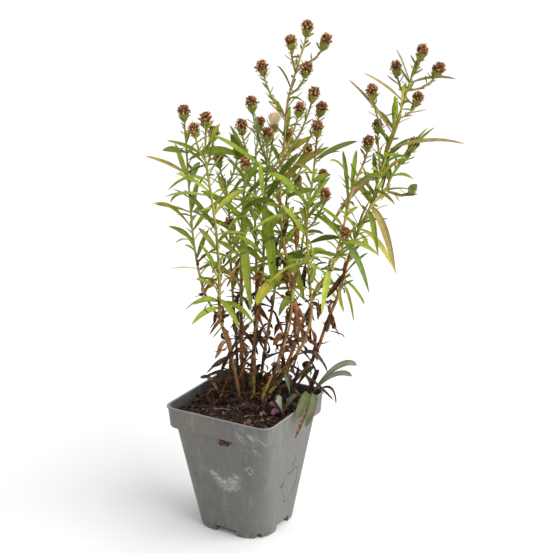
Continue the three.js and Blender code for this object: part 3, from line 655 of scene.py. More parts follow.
def gather(kinds):
    """Several sets of leaves as one."""
    return {key: np.concatenate([kind[key] for kind in kinds]) for key in kinds[0]}


def kept_leaves(leaves, kept):
    """The leaves of a set that are kept."""
    return {key: value[kept] for key, value in leaves.items()}


def leaf_set(path, width, base, tip, **given):
    """A set of leaves with the usual form and colours where none are given."""
    path = np.asarray(path, dtype=float)
    values = {
        "roll": 0, "twist": 0, "curl": 0.5, "wave": 0.06, "dip": 0.7, "belly": (0.75, 0.8), "edge": base,
        "under": np.asarray(base) * 1.2, **given, "width": width, "base": base, "tip": tip,
    }
    columns = {"belly": (2,), "base": (3,), "tip": (3,), "edge": (3,), "under": (3,)}
    leaves = {
        key: np.broadcast_to(np.asarray(value, dtype=float), (len(path), *columns.get(key, ())))
        for key, value in values.items()
    }
    return {**leaves, "path": path}


# Pot and soil

def square_form(corner_steps, side_steps):
    """Directions and hubs round a square with rounded corners: a point is corner * direction + (half -
    corner) * hub, where the hub runs round a square and the direction turns only at its corners."""
    steps = []
    for quarter in range(4):
        hub = np.array([(1, 1), (-1, 1), (-1, -1), (1, -1)][quarter])
        following = np.array([(-1, 1), (-1, -1), (1, -1), (1, 1)][quarter])
        turn = (quarter + np.linspace(0, 1, corner_steps)) * math.pi / 2
        arc = np.column_stack([np.cos(turn), np.sin(turn)])
        share = (np.arange(1, side_steps) / side_steps)[:, None]
        steps.append((arc, np.broadcast_to(hub, arc.shape)))
        steps.append((np.broadcast_to(arc[-1], (side_steps - 1, 2)), hub + (following - hub) * share))
    return tuple(np.concatenate([step[index] for step in steps]) for index in range(2))


def square_rings(form, halves, corners, heights):
    """Rings round a square with rounded corners, for each half width, corner radius and height."""
    direction, hub = form
    halves, corners = (np.asarray(values, dtype=float)[:, None, None] for values in (halves, corners))
    flat = corners * direction + (halves - corners) * hub
    level = np.broadcast_to(np.asarray(heights, dtype=float)[:, None, None], (*flat.shape[:2], 1))
    return np.concatenate([flat, level], axis=-1)


def corner_at(height):
    """The corner radius of the wall shrinks evenly up the pot."""
    return FOOT_CORNER + (RIM_CORNER - FOOT_CORNER) * np.asarray(height) / POT_HEIGHT


def wall_at(height):
    """The half width of the wall grows evenly up to the band."""
    return FOOT_HALF + (NECK_HALF - FOOT_HALF) * np.asarray(height) / BAND_BOTTOM


def soil_height(x, y):
    """A low mound with slow ripples, as in the soil's solid."""
    rim = np.maximum(np.abs(x), np.abs(y)) / RIM_HALF
    ripple = np.sin(x * 0.31 + 1.3) * np.cos(y * 0.27 - 0.6) + np.sin(x * 0.13 - y * 0.19)
    return SOIL_LEVEL + SOIL_MOUND * (1 - rim * rim) + SOIL_ROUGHNESS * 0.5 * ripple


def pot_rings():
    """The pot's wall in one go: out under the base, up the wall, over the band and the lip, down inside and
    in over the floor."""
    profile = [
        (HUB, CHANNEL_HEIGHT), (wall_at(4) - 0.4, CHANNEL_HEIGHT), *((wall_at(z), z) for z in WALL_HEIGHTS),
        *BAND_PROFILE, *INSIDE_BAND, *((wall_at(z) - WALL, z) for z in INNER_HEIGHTS), (HUB, FLOOR_TOP),
    ]
    halves, heights = np.array(profile).T
    inward = np.repeat([0, 1], [len(profile) - INNER_RINGS, INNER_RINGS])
    corners = np.minimum(corner_at(heights) - inward * WALL, halves * 0.98)
    return square_rings(square_form(*POT_STEPS), halves, corners, heights)


def foot_rings():
    """A corner foot: a block with two straight inner sides and the wall's rounded corner outside, where a
    small round-headed drain is sunk in. The other three are the same, turned by quarters."""
    heights = np.concatenate([[0, 0.25, 0.6], np.arange(0.9, CHANNEL_HEIGHT + 0.7, 0.25)])
    half = (wall_at(heights) - 0.6 * (1 - smooth(0, 0.6, heights)))[:, None]
    corner = corner_at(heights)[:, None]
    turn = np.linspace(0, math.pi / 2, FOOT_ARC)[None]
    round_head = np.sqrt(np.maximum(DRAIN_RADIUS ** 2 - (heights - DRAIN_RADIUS) ** 2, 0))
    drain = np.where(heights < DRAIN_RADIUS, DRAIN_RADIUS, round_head)[:, None]
    sunk = (np.abs(turn - math.pi / 4) * corner < drain) * DRAIN_SINK * (heights < 2 * DRAIN_RADIUS)[:, None]
    arc = [half - corner + (corner - sunk) * np.cos(turn), half - corner + (corner - sunk) * np.sin(turn)]
    inner = np.broadcast_to(CHANNEL_HALF, half.shape)
    outline = np.stack([
        np.concatenate([inner, half - FOOT_SIDE, half, arc[0], inner, inner], axis=1),
        np.concatenate([inner, inner, inner, arc[1], half, half - FOOT_SIDE], axis=1),
    ], axis=-1)
    height = np.broadcast_to(heights[:, None, None], (*outline.shape[:2], 1))
    foot = np.concatenate([outline, height], axis=-1)
    quarters = [foot]
    for _ in range(3):
        x, y, z = np.moveaxis(quarters[-1], -1, 0)
        quarters.append(np.stack([-y, x, z], axis=-1))
    return np.stack(quarters)


def soil_rings():
    """The soil: a closed body up the pot's inner wall, then rings that close in over its surface, whose
    height is a low mound with crumbs of three sizes."""
    gap = WALL + FIT_GAP
    form = square_form(*SOIL_STEPS)
    low = FLOOR_TOP + FIT_GAP
    heights = np.array([low, low, BAND_STEP + FIT_GAP, BAND_STEP + FIT_GAP + 0.1, SOIL_EDGE])
    halves = np.array([1 + gap, wall_at(FLOOR_TOP), wall_at(BAND_STEP), BAND_HALF, BAND_HALF]) - gap
    body = square_rings(form, halves, np.minimum(corner_at(heights) - gap, halves * 0.98), heights)
    share = np.linspace(0.995, 0.01, SOIL_RINGS)[:, None, None]
    flat = share * body[-1, :, :2]
    height = soil_height(flat[..., 0], flat[..., 1])
    height = height - (height - SOIL_EDGE) * smooth(0.9, 1, share[..., 0]) * 0.8
    crumbs = 1.2 * np.maximum(0, noise(flat, 3.1, 5)) + 0.8 * np.abs(noise(flat, 1.6, 9))
    crumbs = crumbs + 0.35 * noise(flat, 0.8, 3)
    surface = np.concatenate([flat, (height - 0.9 + crumbs)[..., None]], axis=-1)
    return np.concatenate([body, surface])


def lumps(places, sizes, spin, tint, finish, seed):
    """Broken chips and crumbs: each a round form with flattened, uneven sides, stretched to its size, and
    turned and tilted by its draws."""
    levels = np.linspace(-1, 1, CHIP_LEVELS)
    turn = once_round(CHIP_SIDES)
    reach = (1 - np.abs(levels) ** 2.6) ** 0.45 + 0.05
    form = (len(places), CHIP_LEVELS, CHIP_SIDES)
    rough = 1 + 0.5 * (chance(seed + np.arange(math.prod(form))).reshape(form) - 0.5)
    local = np.stack(np.broadcast_arrays(
        levels[:, None] * rough,
        reach[:, None] * np.cos(turn) * rough,
        reach[:, None] * np.sin(turn) * rough,
    ), axis=-1)
    local = local * sizes[:, None, None]
    tilt = (spin[:, 1] - 0.5)[:, None, None]
    heading = (spin[:, 0] * 2 * math.pi)[:, None, None]
    x, y, z = np.moveaxis(local, -1, 0)
    x, z = x * np.cos(tilt) - z * np.sin(tilt), x * np.sin(tilt) + z * np.cos(tilt)
    x, y = x * np.cos(heading) - y * np.sin(heading), x * np.sin(heading) + y * np.cos(heading)
    points = np.stack([x, y, z], axis=-1) + places[:, None, None]
    uv = wound(turn, levels[:, None])
    return shells(points, uv, tint[:, None, None], finish)


# Curves of the plant

def route_curve(route, steps):
    """Points on a curve through a route: in each span a cubic that leaves and arrives with half the step
    between the neighbours of its ends."""
    knots = grown(route)
    knots = np.vstack([2 * knots[0] - knots[1], knots, 2 * knots[-1] - knots[-2]])
    place = np.linspace(0, len(knots) - 3, steps + 1)
    span = np.minimum(place.astype(int), len(knots) - 4)
    share = (place - span)[:, None]
    before, start, end, after = (knots[span + step] for step in range(4))
    leave, arrive = (end - before) / 2, (after - start) / 2
    return ((2 * start - 2 * end + leave + arrive) * share ** 3
            + (3 * end - 3 * start - 2 * leave - arrive) * share ** 2 + leave * share + start)


def route_steps(route):
    """The number of steps of about one length along a route."""
    length = np.linalg.norm(np.diff(np.array(route, dtype=float), axis=0), axis=1).sum()
    return math.floor(length / CURVE_STEP + 0.5)


def at_heights(points, heights):
    """Points of a curve at heights, straight between its steps."""
    heights = np.asarray(heights, dtype=float)
    index = np.maximum((points[None, :, 2] >= heights[:, None]).argmax(axis=1), 1)
    behind, ahead = points[index - 1], points[index]
    return blend(behind, ahead, (heights - behind[:, 2]) / (ahead[:, 2] - behind[:, 2]))


def shown_tries(points, leaf):
    """The tries of a leaf that has its own row, from the front to the back: an arched curve to its tip."""
    height, tip, _, rise = leaf[:4]
    base = at_heights(points, [height])[0]
    ends = grown([(tip[0], tip[1] + shift, tip[2]) for shift in DEPTH_TRIES])
    bends = (base + ends) / 2
    bends[:, 2] += rise + LEAF_ARCH * np.linalg.norm(ends - base, axis=1)
    return bent(base, bends, ends)


def rule_tries(points, index, height, seed):
    """The tries of a leaf that follows the rule: round the stem by the golden angle, hanging low down, long
    and green higher up, and small at the top. Gives its width, opening and twist too."""
    base = at_heights(points, [height])[0]
    draws = chance(seed * 31 + index * 5 + np.arange(1, 6))
    _, lengths, widths, out, rises, arch, share = next(row for row in LEAF_RULE if height < row[0])
    ranges = lengths, widths, rises, ROLL_RANGE, TWIST_RANGE
    length, width, rise, roll, twist = (low + (high - low) * draw for (low, high), draw in zip(ranges, draws))
    heading = GOLDEN * index + math.radians(seed * 37) + TURN_TRIES
    ends = base + ways(heading, rise) * [out, out, 1] * length
    bends = base + (ends - base) * share
    bends[:, 2] = (base[2] + ends[:, 2]) / 2 + length * arch
    return bent(base, bends, ends), width, roll, twist


def solid_corners(node):
    """The corners of a CAD node, in millimetres from the pot's axis."""
    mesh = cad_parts[node].data
    corners = np.empty(len(mesh.vertices) * 3)
    mesh.vertices.foreach_get("co", corners)
    return (corners.reshape(-1, 3) - POT_AXIS) / MM


def kept_try(tries, corners):
    """The try of a leaf whose tip is a corner of the stem's solid, or None."""
    gaps = np.linalg.norm(tries[:, None, 2] - corners[None], axis=2).min(axis=1)
    found = np.flatnonzero(gaps < MATCH)
    return tries[found[0]] if len(found) else None


def pose_head(points, height, centre, scale):
    """A head leans half upright and half along the way its branch comes."""
    start = at_heights(points, [height])[0]
    middle = grown(centre)
    way = unit(unit(middle - start) + UP)
    return {"start": start, "way": way, "foot": middle - way * HEAD_CENTRE * scale, "scale": scale}


def stand(rings, head):
    """Rings about the upright axis, scaled, leant onto a head's axis and moved to its foot."""
    way = head["way"]
    axis = np.cross(UP, way)
    skew = np.array([[0, -axis[2], axis[1]], [axis[2], 0, -axis[0]], [-axis[1], axis[0], 0]])
    lean = np.eye(3) + skew + skew @ skew / (1 + way[2])
    return rings * head["scale"] @ lean.T + head["foot"]


def on_head(head, *parts):
    """Parts of a head, stood on it."""
    return [{**part, "points": stand(part["points"], head)} for part in parts]


def in_room(points):
    """Points kept inside the part's box."""
    return np.clip(points, ROOM[0] + ROOM_MARGIN, ROOM[1] - ROOM_MARGIN)


# Leaves, heads and litter

STEM, LEAF, WITHERED = range(3)
GREEN_MIX = ("green", "deep", "lime", "blue", "yellow", "olive")
WITHERED_MIX = ("rust", "umber", "dead", "tan")


def palette():
    """The user's colours by name."""
    colours = bpy.context.scene.aster_colours
    return {key: np.array(getattr(colours, key)) for key in AsterColours.__annotations__}


def picked(colours, names, weights, seeds):
    """A colour for each seed, picked by weights and made a little lighter or darker."""
    edges = np.cumsum(weights) / np.sum(weights)
    index = np.minimum(np.searchsorted(edges, chance(seeds)), len(names) - 1)
    shade = 0.8 + 0.4 * chance(np.asarray(seeds) * 3.7 + 1.9)
    return np.array([colours[name] for name in names])[index] * shade[..., None]


def green_mix(colours, heights, seeds, warm):
    """Green leaves: yellower low down, deeper higher up, and olive on the warm stem."""
    low = picked(colours, GREEN_MIX, (4, 1, 5, 0.4, 1.8 + warm, 1 + warm), seeds)
    high = picked(colours, GREEN_MIX, (6, 3.4, 2.4, 0.8, 0.3, 0.5 + 2 * warm), seeds)
    return blend(low, high, smooth(215, 275, np.asarray(heights)))


def withered_mix(colours, heights, seeds):
    """Withered leaves: grey-brown near the soil and rusty higher up."""
    low = picked(colours, WITHERED_MIX, (1, 5, 4, 0.8), seeds)
    high = picked(colours, WITHERED_MIX, (3.4, 6, 1, 0.5), seeds)
    return blend(low, high, smooth(105, 140, np.asarray(heights)))


def hand_of(path):
    """1 for a leaf that points to the right, else -1."""
    return np.where((path[:, 2] - path[:, 0]) @ ACROSS < 0, -1.0, 1.0)


def solid_leaves(points, run, corners):
    """The leaves that the solid has, each with its path, width, roll, twist, kind, height and seed."""
    rows = []
    low, high, every, seed = run["foliage"]
    for index, leaf in enumerate(run["leaves"]):
        path = kept_try(shown_tries(points, leaf), corners)
        if path is not None:
            rows.append((path, leaf[2], leaf[4], 0.0, leaf[5], leaf[0], 7 * index + seed))
    for index in range(int((high - low) / every) + 1):
        height = low + every * index
        tries, width, roll, twist = rule_tries(points, index, height, seed)
        path = kept_try(tries, corners)
        if path is not None:
            kind = "dry" if height < DRY_TOP else "fresh"
            rows.append((path, width, roll, twist, kind, height, seed * 13 + index))
    return [np.array(column) for column in zip(*rows)]


def stand_leaves(points, run, corners, colours, warm):
    """The solid's leaves as a set of living and a set of withered ones, which shrink, sway and roll up."""
    paths, width, roll, twist, kinds, heights, seeds = solid_leaves(points, run, corners)
    withered = np.isin(kinds, ("dry", "rust", "dead", "umber"))
    mixes = withered_mix(colours, heights, seeds), green_mix(colours, heights, seeds, warm)
    base = np.where(withered[:, None], *mixes)
    named = np.array([colours.get(kind, (0, 0, 0)) for kind in kinds])
    base = np.where(np.isin(kinds, list(colours))[:, None], named, base)
    draws = chance(seeds[:, None] * 5.3 + np.arange(8))
    base = base * (0.88 + 0.24 * draws[:, :1])
    ends = blend(base, colours["umber"], 0.15 + 0.6 * (draws[:, 1] > 0.7))
    edge = blend(base, colours["rust"], 0.7 * np.isin(kinds, ("pink", "olive")))
    roll = np.radians(roll) * hand_of(paths)
    living = leaf_set(
        paths, width * np.where(kinds == "fresh", 0.9, 1.1), base, ends, edge=edge, roll=roll,
        twist=np.radians(twist), curl=0.3 + 0.5 * draws[:, 2], wave=0.05 + 0.1 * draws[:, 3],
        dip=0.62 + 0.25 * draws[:, 4],
    )
    length = np.linalg.norm(paths[:, 2] - paths[:, 0], axis=1)[:, None]
    swayed = paths.copy()
    swayed[:, 1] += (draws[:, 5:8] - [0.5, 0.5, 0.75]) * length * 0.5
    dried = leaf_set(
        swayed, width * (0.7 + 0.5 * draws[:, 4]), base, ends * 0.8, roll=roll + 2 * (draws[:, 2] - 0.5),
        twist=8 * (draws[:, 3] - 0.5), curl=0.9 + 1.3 * draws[:, 6], wave=0.3 + 0.4 * draws[:, 7], dip=0.4,
        belly=(0.8, 0.6),
    )
    return kept_leaves(living, ~withered), kept_leaves(dried, withered)


def axil_leaves(points, seed, heights, sizes, colours, warm):
    """Narrow pointed leaves of the side shoots, which spread from the axils and are longest halfway up."""
    index = np.arange(len(heights))
    draws = draw_rows(seed * 91, len(heights), 9, 9)
    base = at_heights(points, heights)
    fullness = np.clip(1.25 - np.abs(heights - FULLEST) / FULL_SPREAD, 0.5, 1.1)
    length = (sizes[0] + (sizes[1] - sizes[0]) * draws[:, 0] ** 1.3) * fullness
    heading = GOLDEN * index * 1.7 + seed + draws[:, 1] * 2
    ends = base + unit(ways(heading, 2 * draws[:, 2] - 0.3)) * length[:, None]
    bends = (base + ends) / 2 + UP * (length * (0.05 + 0.25 * draws[:, 3]))[:, None]
    tint = green_mix(colours, heights, seed * 17 + index, warm)
    return leaf_set(
        in_room(bent(base, bends, ends)), 1.1 + (0.06 + 0.05 * draws[:, 4]) * length, tint,
        blend(tint, colours["umber"], 0.5 * (draws[:, 7] > 0.75)),
        roll=(draws[:, 5] - 0.5) * 2.4, twist=(draws[:, 6] - 0.5) * 1.6, curl=0.3 + 0.6 * draws[:, 8],
    )


def shrivelled(points, seed, heights, colours):
    """Shrivelled leaves that hang and roll up round the bare lower stem."""
    draws = draw_rows(seed * 73, len(heights), 13, 12)
    base = at_heights(points, heights + 3 * (draws[:, 8] - 0.5))
    length = (5 + 12 * draws[:, 0] ** 1.4)[:, None]
    ends = base + unit(ways(draws[:, 1] * 2 * math.pi, 0.5 - 2.6 * draws[:, 2])) * length
    ends[:, 2] = np.maximum(ends[:, 2], TIP_FLOOR)
    bends = (base + ends) / 2 + (draws[:, 9:12] - [0.5, 0.5, 0.4]) * length
    tint = withered_mix(colours, heights, seed * 19 + np.arange(len(heights)))
    return leaf_set(
        bent(base, bends, ends), 1.2 + 3.2 * draws[:, 4] ** 1.6, tint, tint * 0.6,
        roll=(draws[:, 5] - 0.5) * 5, twist=(draws[:, 6] - 0.5) * 12, curl=1.2 + 1.6 * draws[:, 3],
        wave=0.3 + 0.5 * draws[:, 7], dip=0.3, belly=(0.9, 0.5),
    )


def added_leaves(points, rows, seed, colours, dry):
    """Leaves that have their own row and only the scene has: they leave the stem and bow to their tips, and
    the withered ones are twisted and half rolled up."""
    heights, tips, widths, kinds = zip(*rows)
    base, ends = at_heights(points, heights), grown(tips)
    draws = draw_rows(seed * 87, len(rows), 7, 7)
    length = np.linalg.norm(ends - base, axis=1)[:, None]
    bends = (base + ends) / 2 + (draws[:, :3] - [0.5, 0.5, -0.1]) * length * 0.45
    tint = np.array([colours[kind] for kind in kinds]) * (0.85 + 0.35 * draws[:, 3:4])
    fade, least_curl, turn, wave = (0.55, 0.7, 7, 0.35) if dry else (0.85, 0.3, 2, 0.1)
    return leaf_set(
        bent(base, bends, ends), widths, tint, tint * fade, edge=tint * fade, roll=(draws[:, 4] - 0.5) * 3,
        twist=(draws[:, 5] - 0.5) * turn, wave=wave, curl=least_curl + 0.8 * draws[:, 6], dip=0.5,
        belly=(0.9, 0.6),
    )


def thin_twigs(points, seed, heights, colours):
    """Thin dead leaf stalks and side twigs low on the stem."""
    index = np.arange(len(heights))
    draws = draw_rows(seed * 57, len(heights), 7, 6)
    base = at_heights(points, heights)
    length = (4 + 8 * draws[:, 0])[:, None]
    ends = base + unit(ways(GOLDEN * index * 2.1 + seed, 1.6 - 1.9 * draws[:, 1])) * length
    ends[:, 2] = np.maximum(ends[:, 2], TIP_FLOOR)
    bends = (base + ends) / 2 + UP * length * (draws[:, 2:3] - 0.4)
    tint = picked(colours, ("umber", "dead", "russet"), (4, 3, 3), seed * 23 + index)
    return rods(bent(base, bends, ends), 0.35 + 0.3 * draws[:, 3], tint, WITHERED, crook=0.7)


def spiral(count, seed, jitter):
    """Outward directions round a head by the golden angle, and those square to them."""
    outward = ways(GOLDEN * np.arange(count) + seed + jitter, 0)
    return outward, np.cross(UP, outward)


def fanned(outward, radius, height):
    """Points at radii along outward directions, at heights."""
    return outward * radius[:, None] + UP * np.atleast_1d(height)[:, None]


def turned(profile, corners, rough, tint, finish):
    """A closed body turned about a head's axis, from radii and heights, with an uneven girth."""
    turn = once_round(corners)
    profile = np.array(profile)
    reach = profile[:, :1] * (1 + rough * np.sin(turn * 5 + profile[:, 1:] * 2))
    rings = np.stack(np.broadcast_arrays(reach * np.cos(turn), reach * np.sin(turn), profile[:, 1:]), axis=-1)
    uv = wound(turn, profile[:, 1:] / 6)
    return shells(rings[None], uv, tint, finish)


def cup(head, seed, colours):
    """The cup under a head: a turned body, rows of narrow bracts that press to it and part at their tips,
    and a few stray ones below."""
    tint = blend(colours["cup"], colours["lime"], 0.3 * float(chance(seed * 1.7)))
    body = turned(CUP_BODY, 12, 0.02, tint * 0.9, LEAF)
    row = np.arange(BRACTS) % len(BRACT_FEET)
    draws = draw_rows(seed * 41, BRACTS, 5, 4)
    outward, sideways = spiral(BRACTS, seed, draws[:, 0] * 0.5)
    stray = draws[:, 1] ** 3
    stray[:STRAY_BRACTS] = 1 + draws[:STRAY_BRACTS, 1] * 0.6
    start = fanned(outward, *BRACT_FEET[row].T)
    bend = fanned(outward, BRACT_BENDS[row, 0] + 0.4 * stray, BRACT_BENDS[row, 1])
    end = fanned(outward, BRACT_TIPS[row, 0] + 1.8 * stray, BRACT_TIPS[row, 1] - 1.8 * stray) + sideways * 0.3
    shade = (0.75 + 0.6 * draws[:, 2])[:, None]
    ends = np.where(draws[:, 3:4] > 0.6, blend(tint, colours["rust"], 0.5), tint * 1.25)
    leaves = leaf_set(
        bent(start, bend, end), 0.7 + 0.5 * draws[:, 3], tint * shade, ends, dip=0.5, belly=(0.5, 0.9),
    )
    return on_head(head, body, blades(leaves, LEAF, levels=6, halves=1, thick=0.25))


def florets(head, seed, colours, count):
    """Dried florets in a spiral from the middle out: each leaves the cup, fans out, and widens and crumples
    at its end, whose paler colour is raised further as painted light. The outer ones hang over the cup."""
    share = (np.arange(count) + 0.5) / count
    draws = draw_rows(seed * 67, count, 8, 8)
    outward, sideways = spiral(count, seed, (draws[:, 0] - 0.5) * 0.8)
    radius = 0.4 + 3.6 * np.sqrt(share) + 0.9 * (draws[:, 1] - 0.4)
    top = 11.8 - 4.6 * share ** 1.6 + 1.3 * (draws[:, 2] - 0.7)
    start = fanned(outward, 0.3 + 1.9 * np.sqrt(share), 4.2)
    bend = fanned(outward, radius, top + 1.5 - 0.6 * share)
    end = fanned(outward, radius + 0.2 + 0.9 * share * draws[:, 3], top - 0.2 - 1.8 * draws[:, 4] * share)
    end = end + sideways * (draws[:, 7:] - 0.5) * 2
    ends = picked(colours, ("husk", "tan", "amber", "floret"), (5, 2, 2, 2), seed * 29 + np.arange(count))
    # The ends' own pale colours, raised 1.4 to 3.1 times: painted light against the shade inside the head
    ends = ends * (1.4 + 1.7 * draws[:, 6:7])
    leaves = leaf_set(
        bent(start, bend, end), 1.5 + 1.1 * draws[:, 5], colours["floret"], ends,
        roll=(draws[:, 6] - 0.5) * 1.6, twist=(draws[:, 3] - 0.5) * 3, curl=0.9 + 1.2 * draws[:, 4],
        wave=0.45, dip=0.4, belly=(2, 0.35),
    )
    heart = turned(FLORET_HEART, 12, 0.14, colours["floret"] * 0.4, 0)
    return on_head(head, heart, blades(leaves, 0, levels=8, halves=1, thick=0.28))


def fluff(head, colours, count):
    """Ripe seed down: fine hairs in a spiral that stand up from the cup and part at the top, round a soft
    heart."""
    share = (np.arange(count) + 0.5) / count
    draws = draw_rows(DOWN_SEED, count, 5, 4)
    outward = spiral(count, 0, draws[:, 0] * 0.3)[0]
    radius = 5.2 * np.sqrt(share) + 1.6 * (draws[:, 0] - 0.6)
    start = fanned(outward, 1.9 * np.sqrt(share), 4.8)
    bend = fanned(outward, radius * 0.9, 9.5 + draws[:, 1])
    end = fanned(outward, radius, 15.6 - 3 * share ** 1.5 - 2 * draws[:, 2])
    tint = blend(colours["down"] * 0.8, colours["down"] * 1.1, draws[:, 3])
    hairs = rods(bent(start, bend, end), np.full(count, 0.15), tint, 0, levels=5, corners=3)
    heart = turned(DOWN_HEART, 18, 0.05, colours["down"] * 0.8, 0)
    return on_head(head, heart, hairs)


def branch(head, seed, colours, leafy):
    """The stalk of a head, with small leaves that stand along it and below its cup; a bud's has more."""
    end = head["foot"] + head["way"] * head["scale"]
    length = np.linalg.norm(end - head["start"])
    path = np.array([[head["start"], end - head["way"] * BRANCH_BEND * length, end]])
    tint = picked(colours, ("moss_stem", "russet", "straw"), (4, 1.2, 1.4), np.array([seed * 3.1]))
    rod = rods(path, np.array([BRANCH_RADIUS]), tint, STEM, levels=10, corners=8, taper=0.85)
    count = 5 + int(length / 3.5) + 8 * leafy
    index = np.arange(count)
    draws = draw_rows(seed * 37, count, 6, 6)
    (base,), (way,) = travel(path, np.linspace(0.1, 1, count))
    outward = spiral(count, seed, draws[:, 5])[0]
    reach = (3 + 5 * draws[:, :1]) * np.where(index[:, None] % 4 == 0, 1.6, 1) * (1 + 0.5 * leafy)
    ends = base + unit(way + outward * (0.5 + 1.2 * draws[:, 1:2])) * reach
    bends = (base + ends) / 2 + outward * 0.15 * reach
    tint = picked(colours, ("green", "olive", "deep", "pink", "straw"), (4, 2, 2, 1.5, 1), seed * 43 + index)
    leaves = leaf_set(
        in_room(bent(base, bends, ends)), 0.6 + 0.09 * reach[:, 0] + 0.3 * draws[:, 2], tint, tint,
        roll=(draws[:, 3] - 0.5) * 2,
    )
    return [rod, blades(leaves, LEAF, levels=6, halves=1, thick=0.25)]


def bud(head, seed, colours):
    """An unopened head: a cup under narrow bracts that close over it."""
    outward = spiral(BUD_BRACTS, seed, 0)[0]
    lift = np.arange(BUD_BRACTS) % 3
    start = fanned(outward, np.full(BUD_BRACTS, 2.8), 3.5 + lift)
    bend = fanned(outward, np.full(BUD_BRACTS, 2.6), 7.5 + 0.3 * lift)
    end = fanned(outward, 0.3 + 0.4 * lift, 9.9 - 0.8 * lift)
    leaves = leaf_set(bent(start, bend, end), 1.5, colours["deep"], colours["deep"])
    return cup(head, seed, colours) + on_head(head, blades(leaves, LEAF, levels=6, halves=1))


def whole_route(run):
    """A run's route, from its root in the soil where it has one."""
    root = run.get("root")
    foot = [(*root, STEM_FOOT), (*root, STEM_NECK), (*root, STEM_COLLAR)] if root else []
    return foot + list(run["route"])


def runs_of(plan):
    """The runs of a stem: the main one and its forks."""
    return [plan, *plan.get("forks", [])]


def heads_of(plan):
    """The poses of a stem's flower heads, in the order of their solids."""
    poses = []
    for run in runs_of(plan):
        route = whole_route(run)
        points = route_curve(route, route_steps(route))
        poses += [pose_head(points, *head) for head in run.get("heads", [])]
    return poses


def numbered_heads():
    """Each flower head with its number and its stem's name."""
    rows = [(name, head) for name, plan in STEMS.items() for head in heads_of(plan)]
    return [(number + 1, name, head) for number, (name, head) in enumerate(rows)]


def stem_tint(name, heights, colours):
    """The colour up a stem, blended between its four heights."""
    named = np.array([colours[colour] for colour in STALKS[name]])
    return np.stack([np.interp(heights, STALK_HEIGHTS, named[:, channel]) for channel in range(3)], axis=-1)


def stem_parts(name, plan, seed, colours):
    """A stem with its forks, leaves, head stalks and cups."""
    corners = solid_corners(name)
    warm = 1.5 if name == "stem_right" else 0
    parts = []
    for number, run in enumerate(runs_of(plan)):
        route = whole_route(run)
        steps = route_steps(route)
        points = route_curve(route, steps)
        fine = route_curve(route, steps * 6)
        radii = np.linspace(*run["radii"], len(fine)) * np.linspace(*STEM_SLIMMING, len(fine))
        parts.append(stalk(fine, radii, stem_tint(name, fine[:, 2], colours), STEM))
        living, dried = stand_leaves(points, run, corners, colours, warm)
        key = seed * 10 + number
        top = points[-1, 2] - 5
        low = max(route[0][2], LEAF_FLOOR)
        leafy = max(DRY_TOP - 8, low)
        small = axil_leaves(points, key, np.arange(leafy, top, 4.6), (6, 15), colours, warm)
        heights = np.arange(leafy, top, 7.2 - 2.3 * warm)
        medium = axil_leaves(points, key + 0.5, heights, (18, 40), colours, warm)
        parts.append(blades(living, LEAF, levels=14, halves=3))
        parts.append(blades(gather([small, medium]), LEAF, halves=1, thick=0.25))
        if len(dried["path"]):
            parts.append(blades(dried, WITHERED, levels=16))
        if low < DRY_TOP:
            end = min(DRY_TOP + 25, top)
            heights = low + (end - low) * np.linspace(0, 1, int((end - low) / 5)) ** 1.5
            parts.append(blades(shrivelled(points, key, heights, colours), WITHERED, levels=12))
            parts.append(thin_twigs(points, key, np.arange(low, end, 13), colours))
        added = () if number else ADDED_LEAVES.get(name, ())
        for finish, dry in ((WITHERED, True), (LEAF, False)):
            rows = [row for row in added if (row[3] in WITHERED_MIX) == dry]
            if rows:
                leaves = added_leaves(points, rows, key, colours, dry)
                parts.append(blades(leaves, finish, levels=18, halves=3))
        heads, buds = run.get("heads", []), run.get("buds", [])
        for index, row in enumerate(heads + buds):
            pose = pose_head(points, *row)
            closed = index >= len(heads)
            make = bud if closed else cup
            parts += branch(pose, key * 7 + index, colours, closed) + make(pose, key * 7 + index, colours)
    return parts


def shoot_parts(plan, seed, colours):
    """A shoot: a short stalk and its spoon-shaped leaves with purple margins, or withered ones."""
    bends, tips, widths, kinds = (np.array(column) for column in zip(*plan["leaves"]))
    foot = grown([(*plan["base"], height) for height in (STEM_FOOT, STEM_NECK, SHOOT_NECK, SHOOT_TOP)])
    paths = bent(grown((*plan["base"], SHOOT_LEAF_FOOT)), grown(bends), grown(tips))
    withered = kinds == "withered"
    draws = draw_rows(seed * 31, len(kinds), 4, 4)
    plum, roll = colours["plum"], np.radians(30) * hand_of(paths)
    base = np.array([colours["dead" if kind == "withered" else kind] for kind in kinds])
    spoons = leaf_set(
        paths, widths * np.where(kinds == "dusky", 0.85, 1.2), base,
        blend(base, plum, 0.1 + 0.4 * draws[:, 0]),
        edge=blend(base, plum, 0.4 + 0.6 * draws[:, 2]), under=blend(base, plum, 0.4 + 0.6 * draws[:, 0]),
        roll=roll, curl=0.3 + 0.45 * draws[:, 1], wave=0.08, dip=0.5, belly=(1.25, 0.5),
    )
    dry = withered_mix(colours, np.full(len(kinds), 105), seed * 11 + np.arange(len(kinds)))
    curled = leaf_set(
        paths, widths * 0.9, dry, dry * 0.6, edge=dry * 0.6, roll=roll, twist=5 * (draws[:, 3] - 0.5),
        curl=0.9 + draws[:, 1], wave=0.3, dip=0.4, belly=(1.1, 0.5),
    )
    tint = np.broadcast_to(colours["dead"] if withered.all() else plum, foot.shape)
    parts = [stalk(foot, np.array([2, 2, 1.7, 1.2]), tint, STEM)]
    for leaves, kept, finish in ((spoons, ~withered, LEAF), (curled, withered, WITHERED)):
        if kept.any():
            parts.append(blades(kept_leaves(leaves, kept), finish, levels=18, halves=4))
    return parts


def on_soil(flat, lift):
    """Points on the soil, raised by a lift."""
    return np.column_stack([flat, soil_height(flat[:, 0], flat[:, 1]) + lift])


def strewn(flat, draw, length):
    """The far ends of what lies on the soil with a drawn heading, kept inside the pot."""
    return np.clip(flat + ways(draw * 2 * math.pi, 0)[:, :2] * length, -SOIL_REACH, SOIL_REACH)


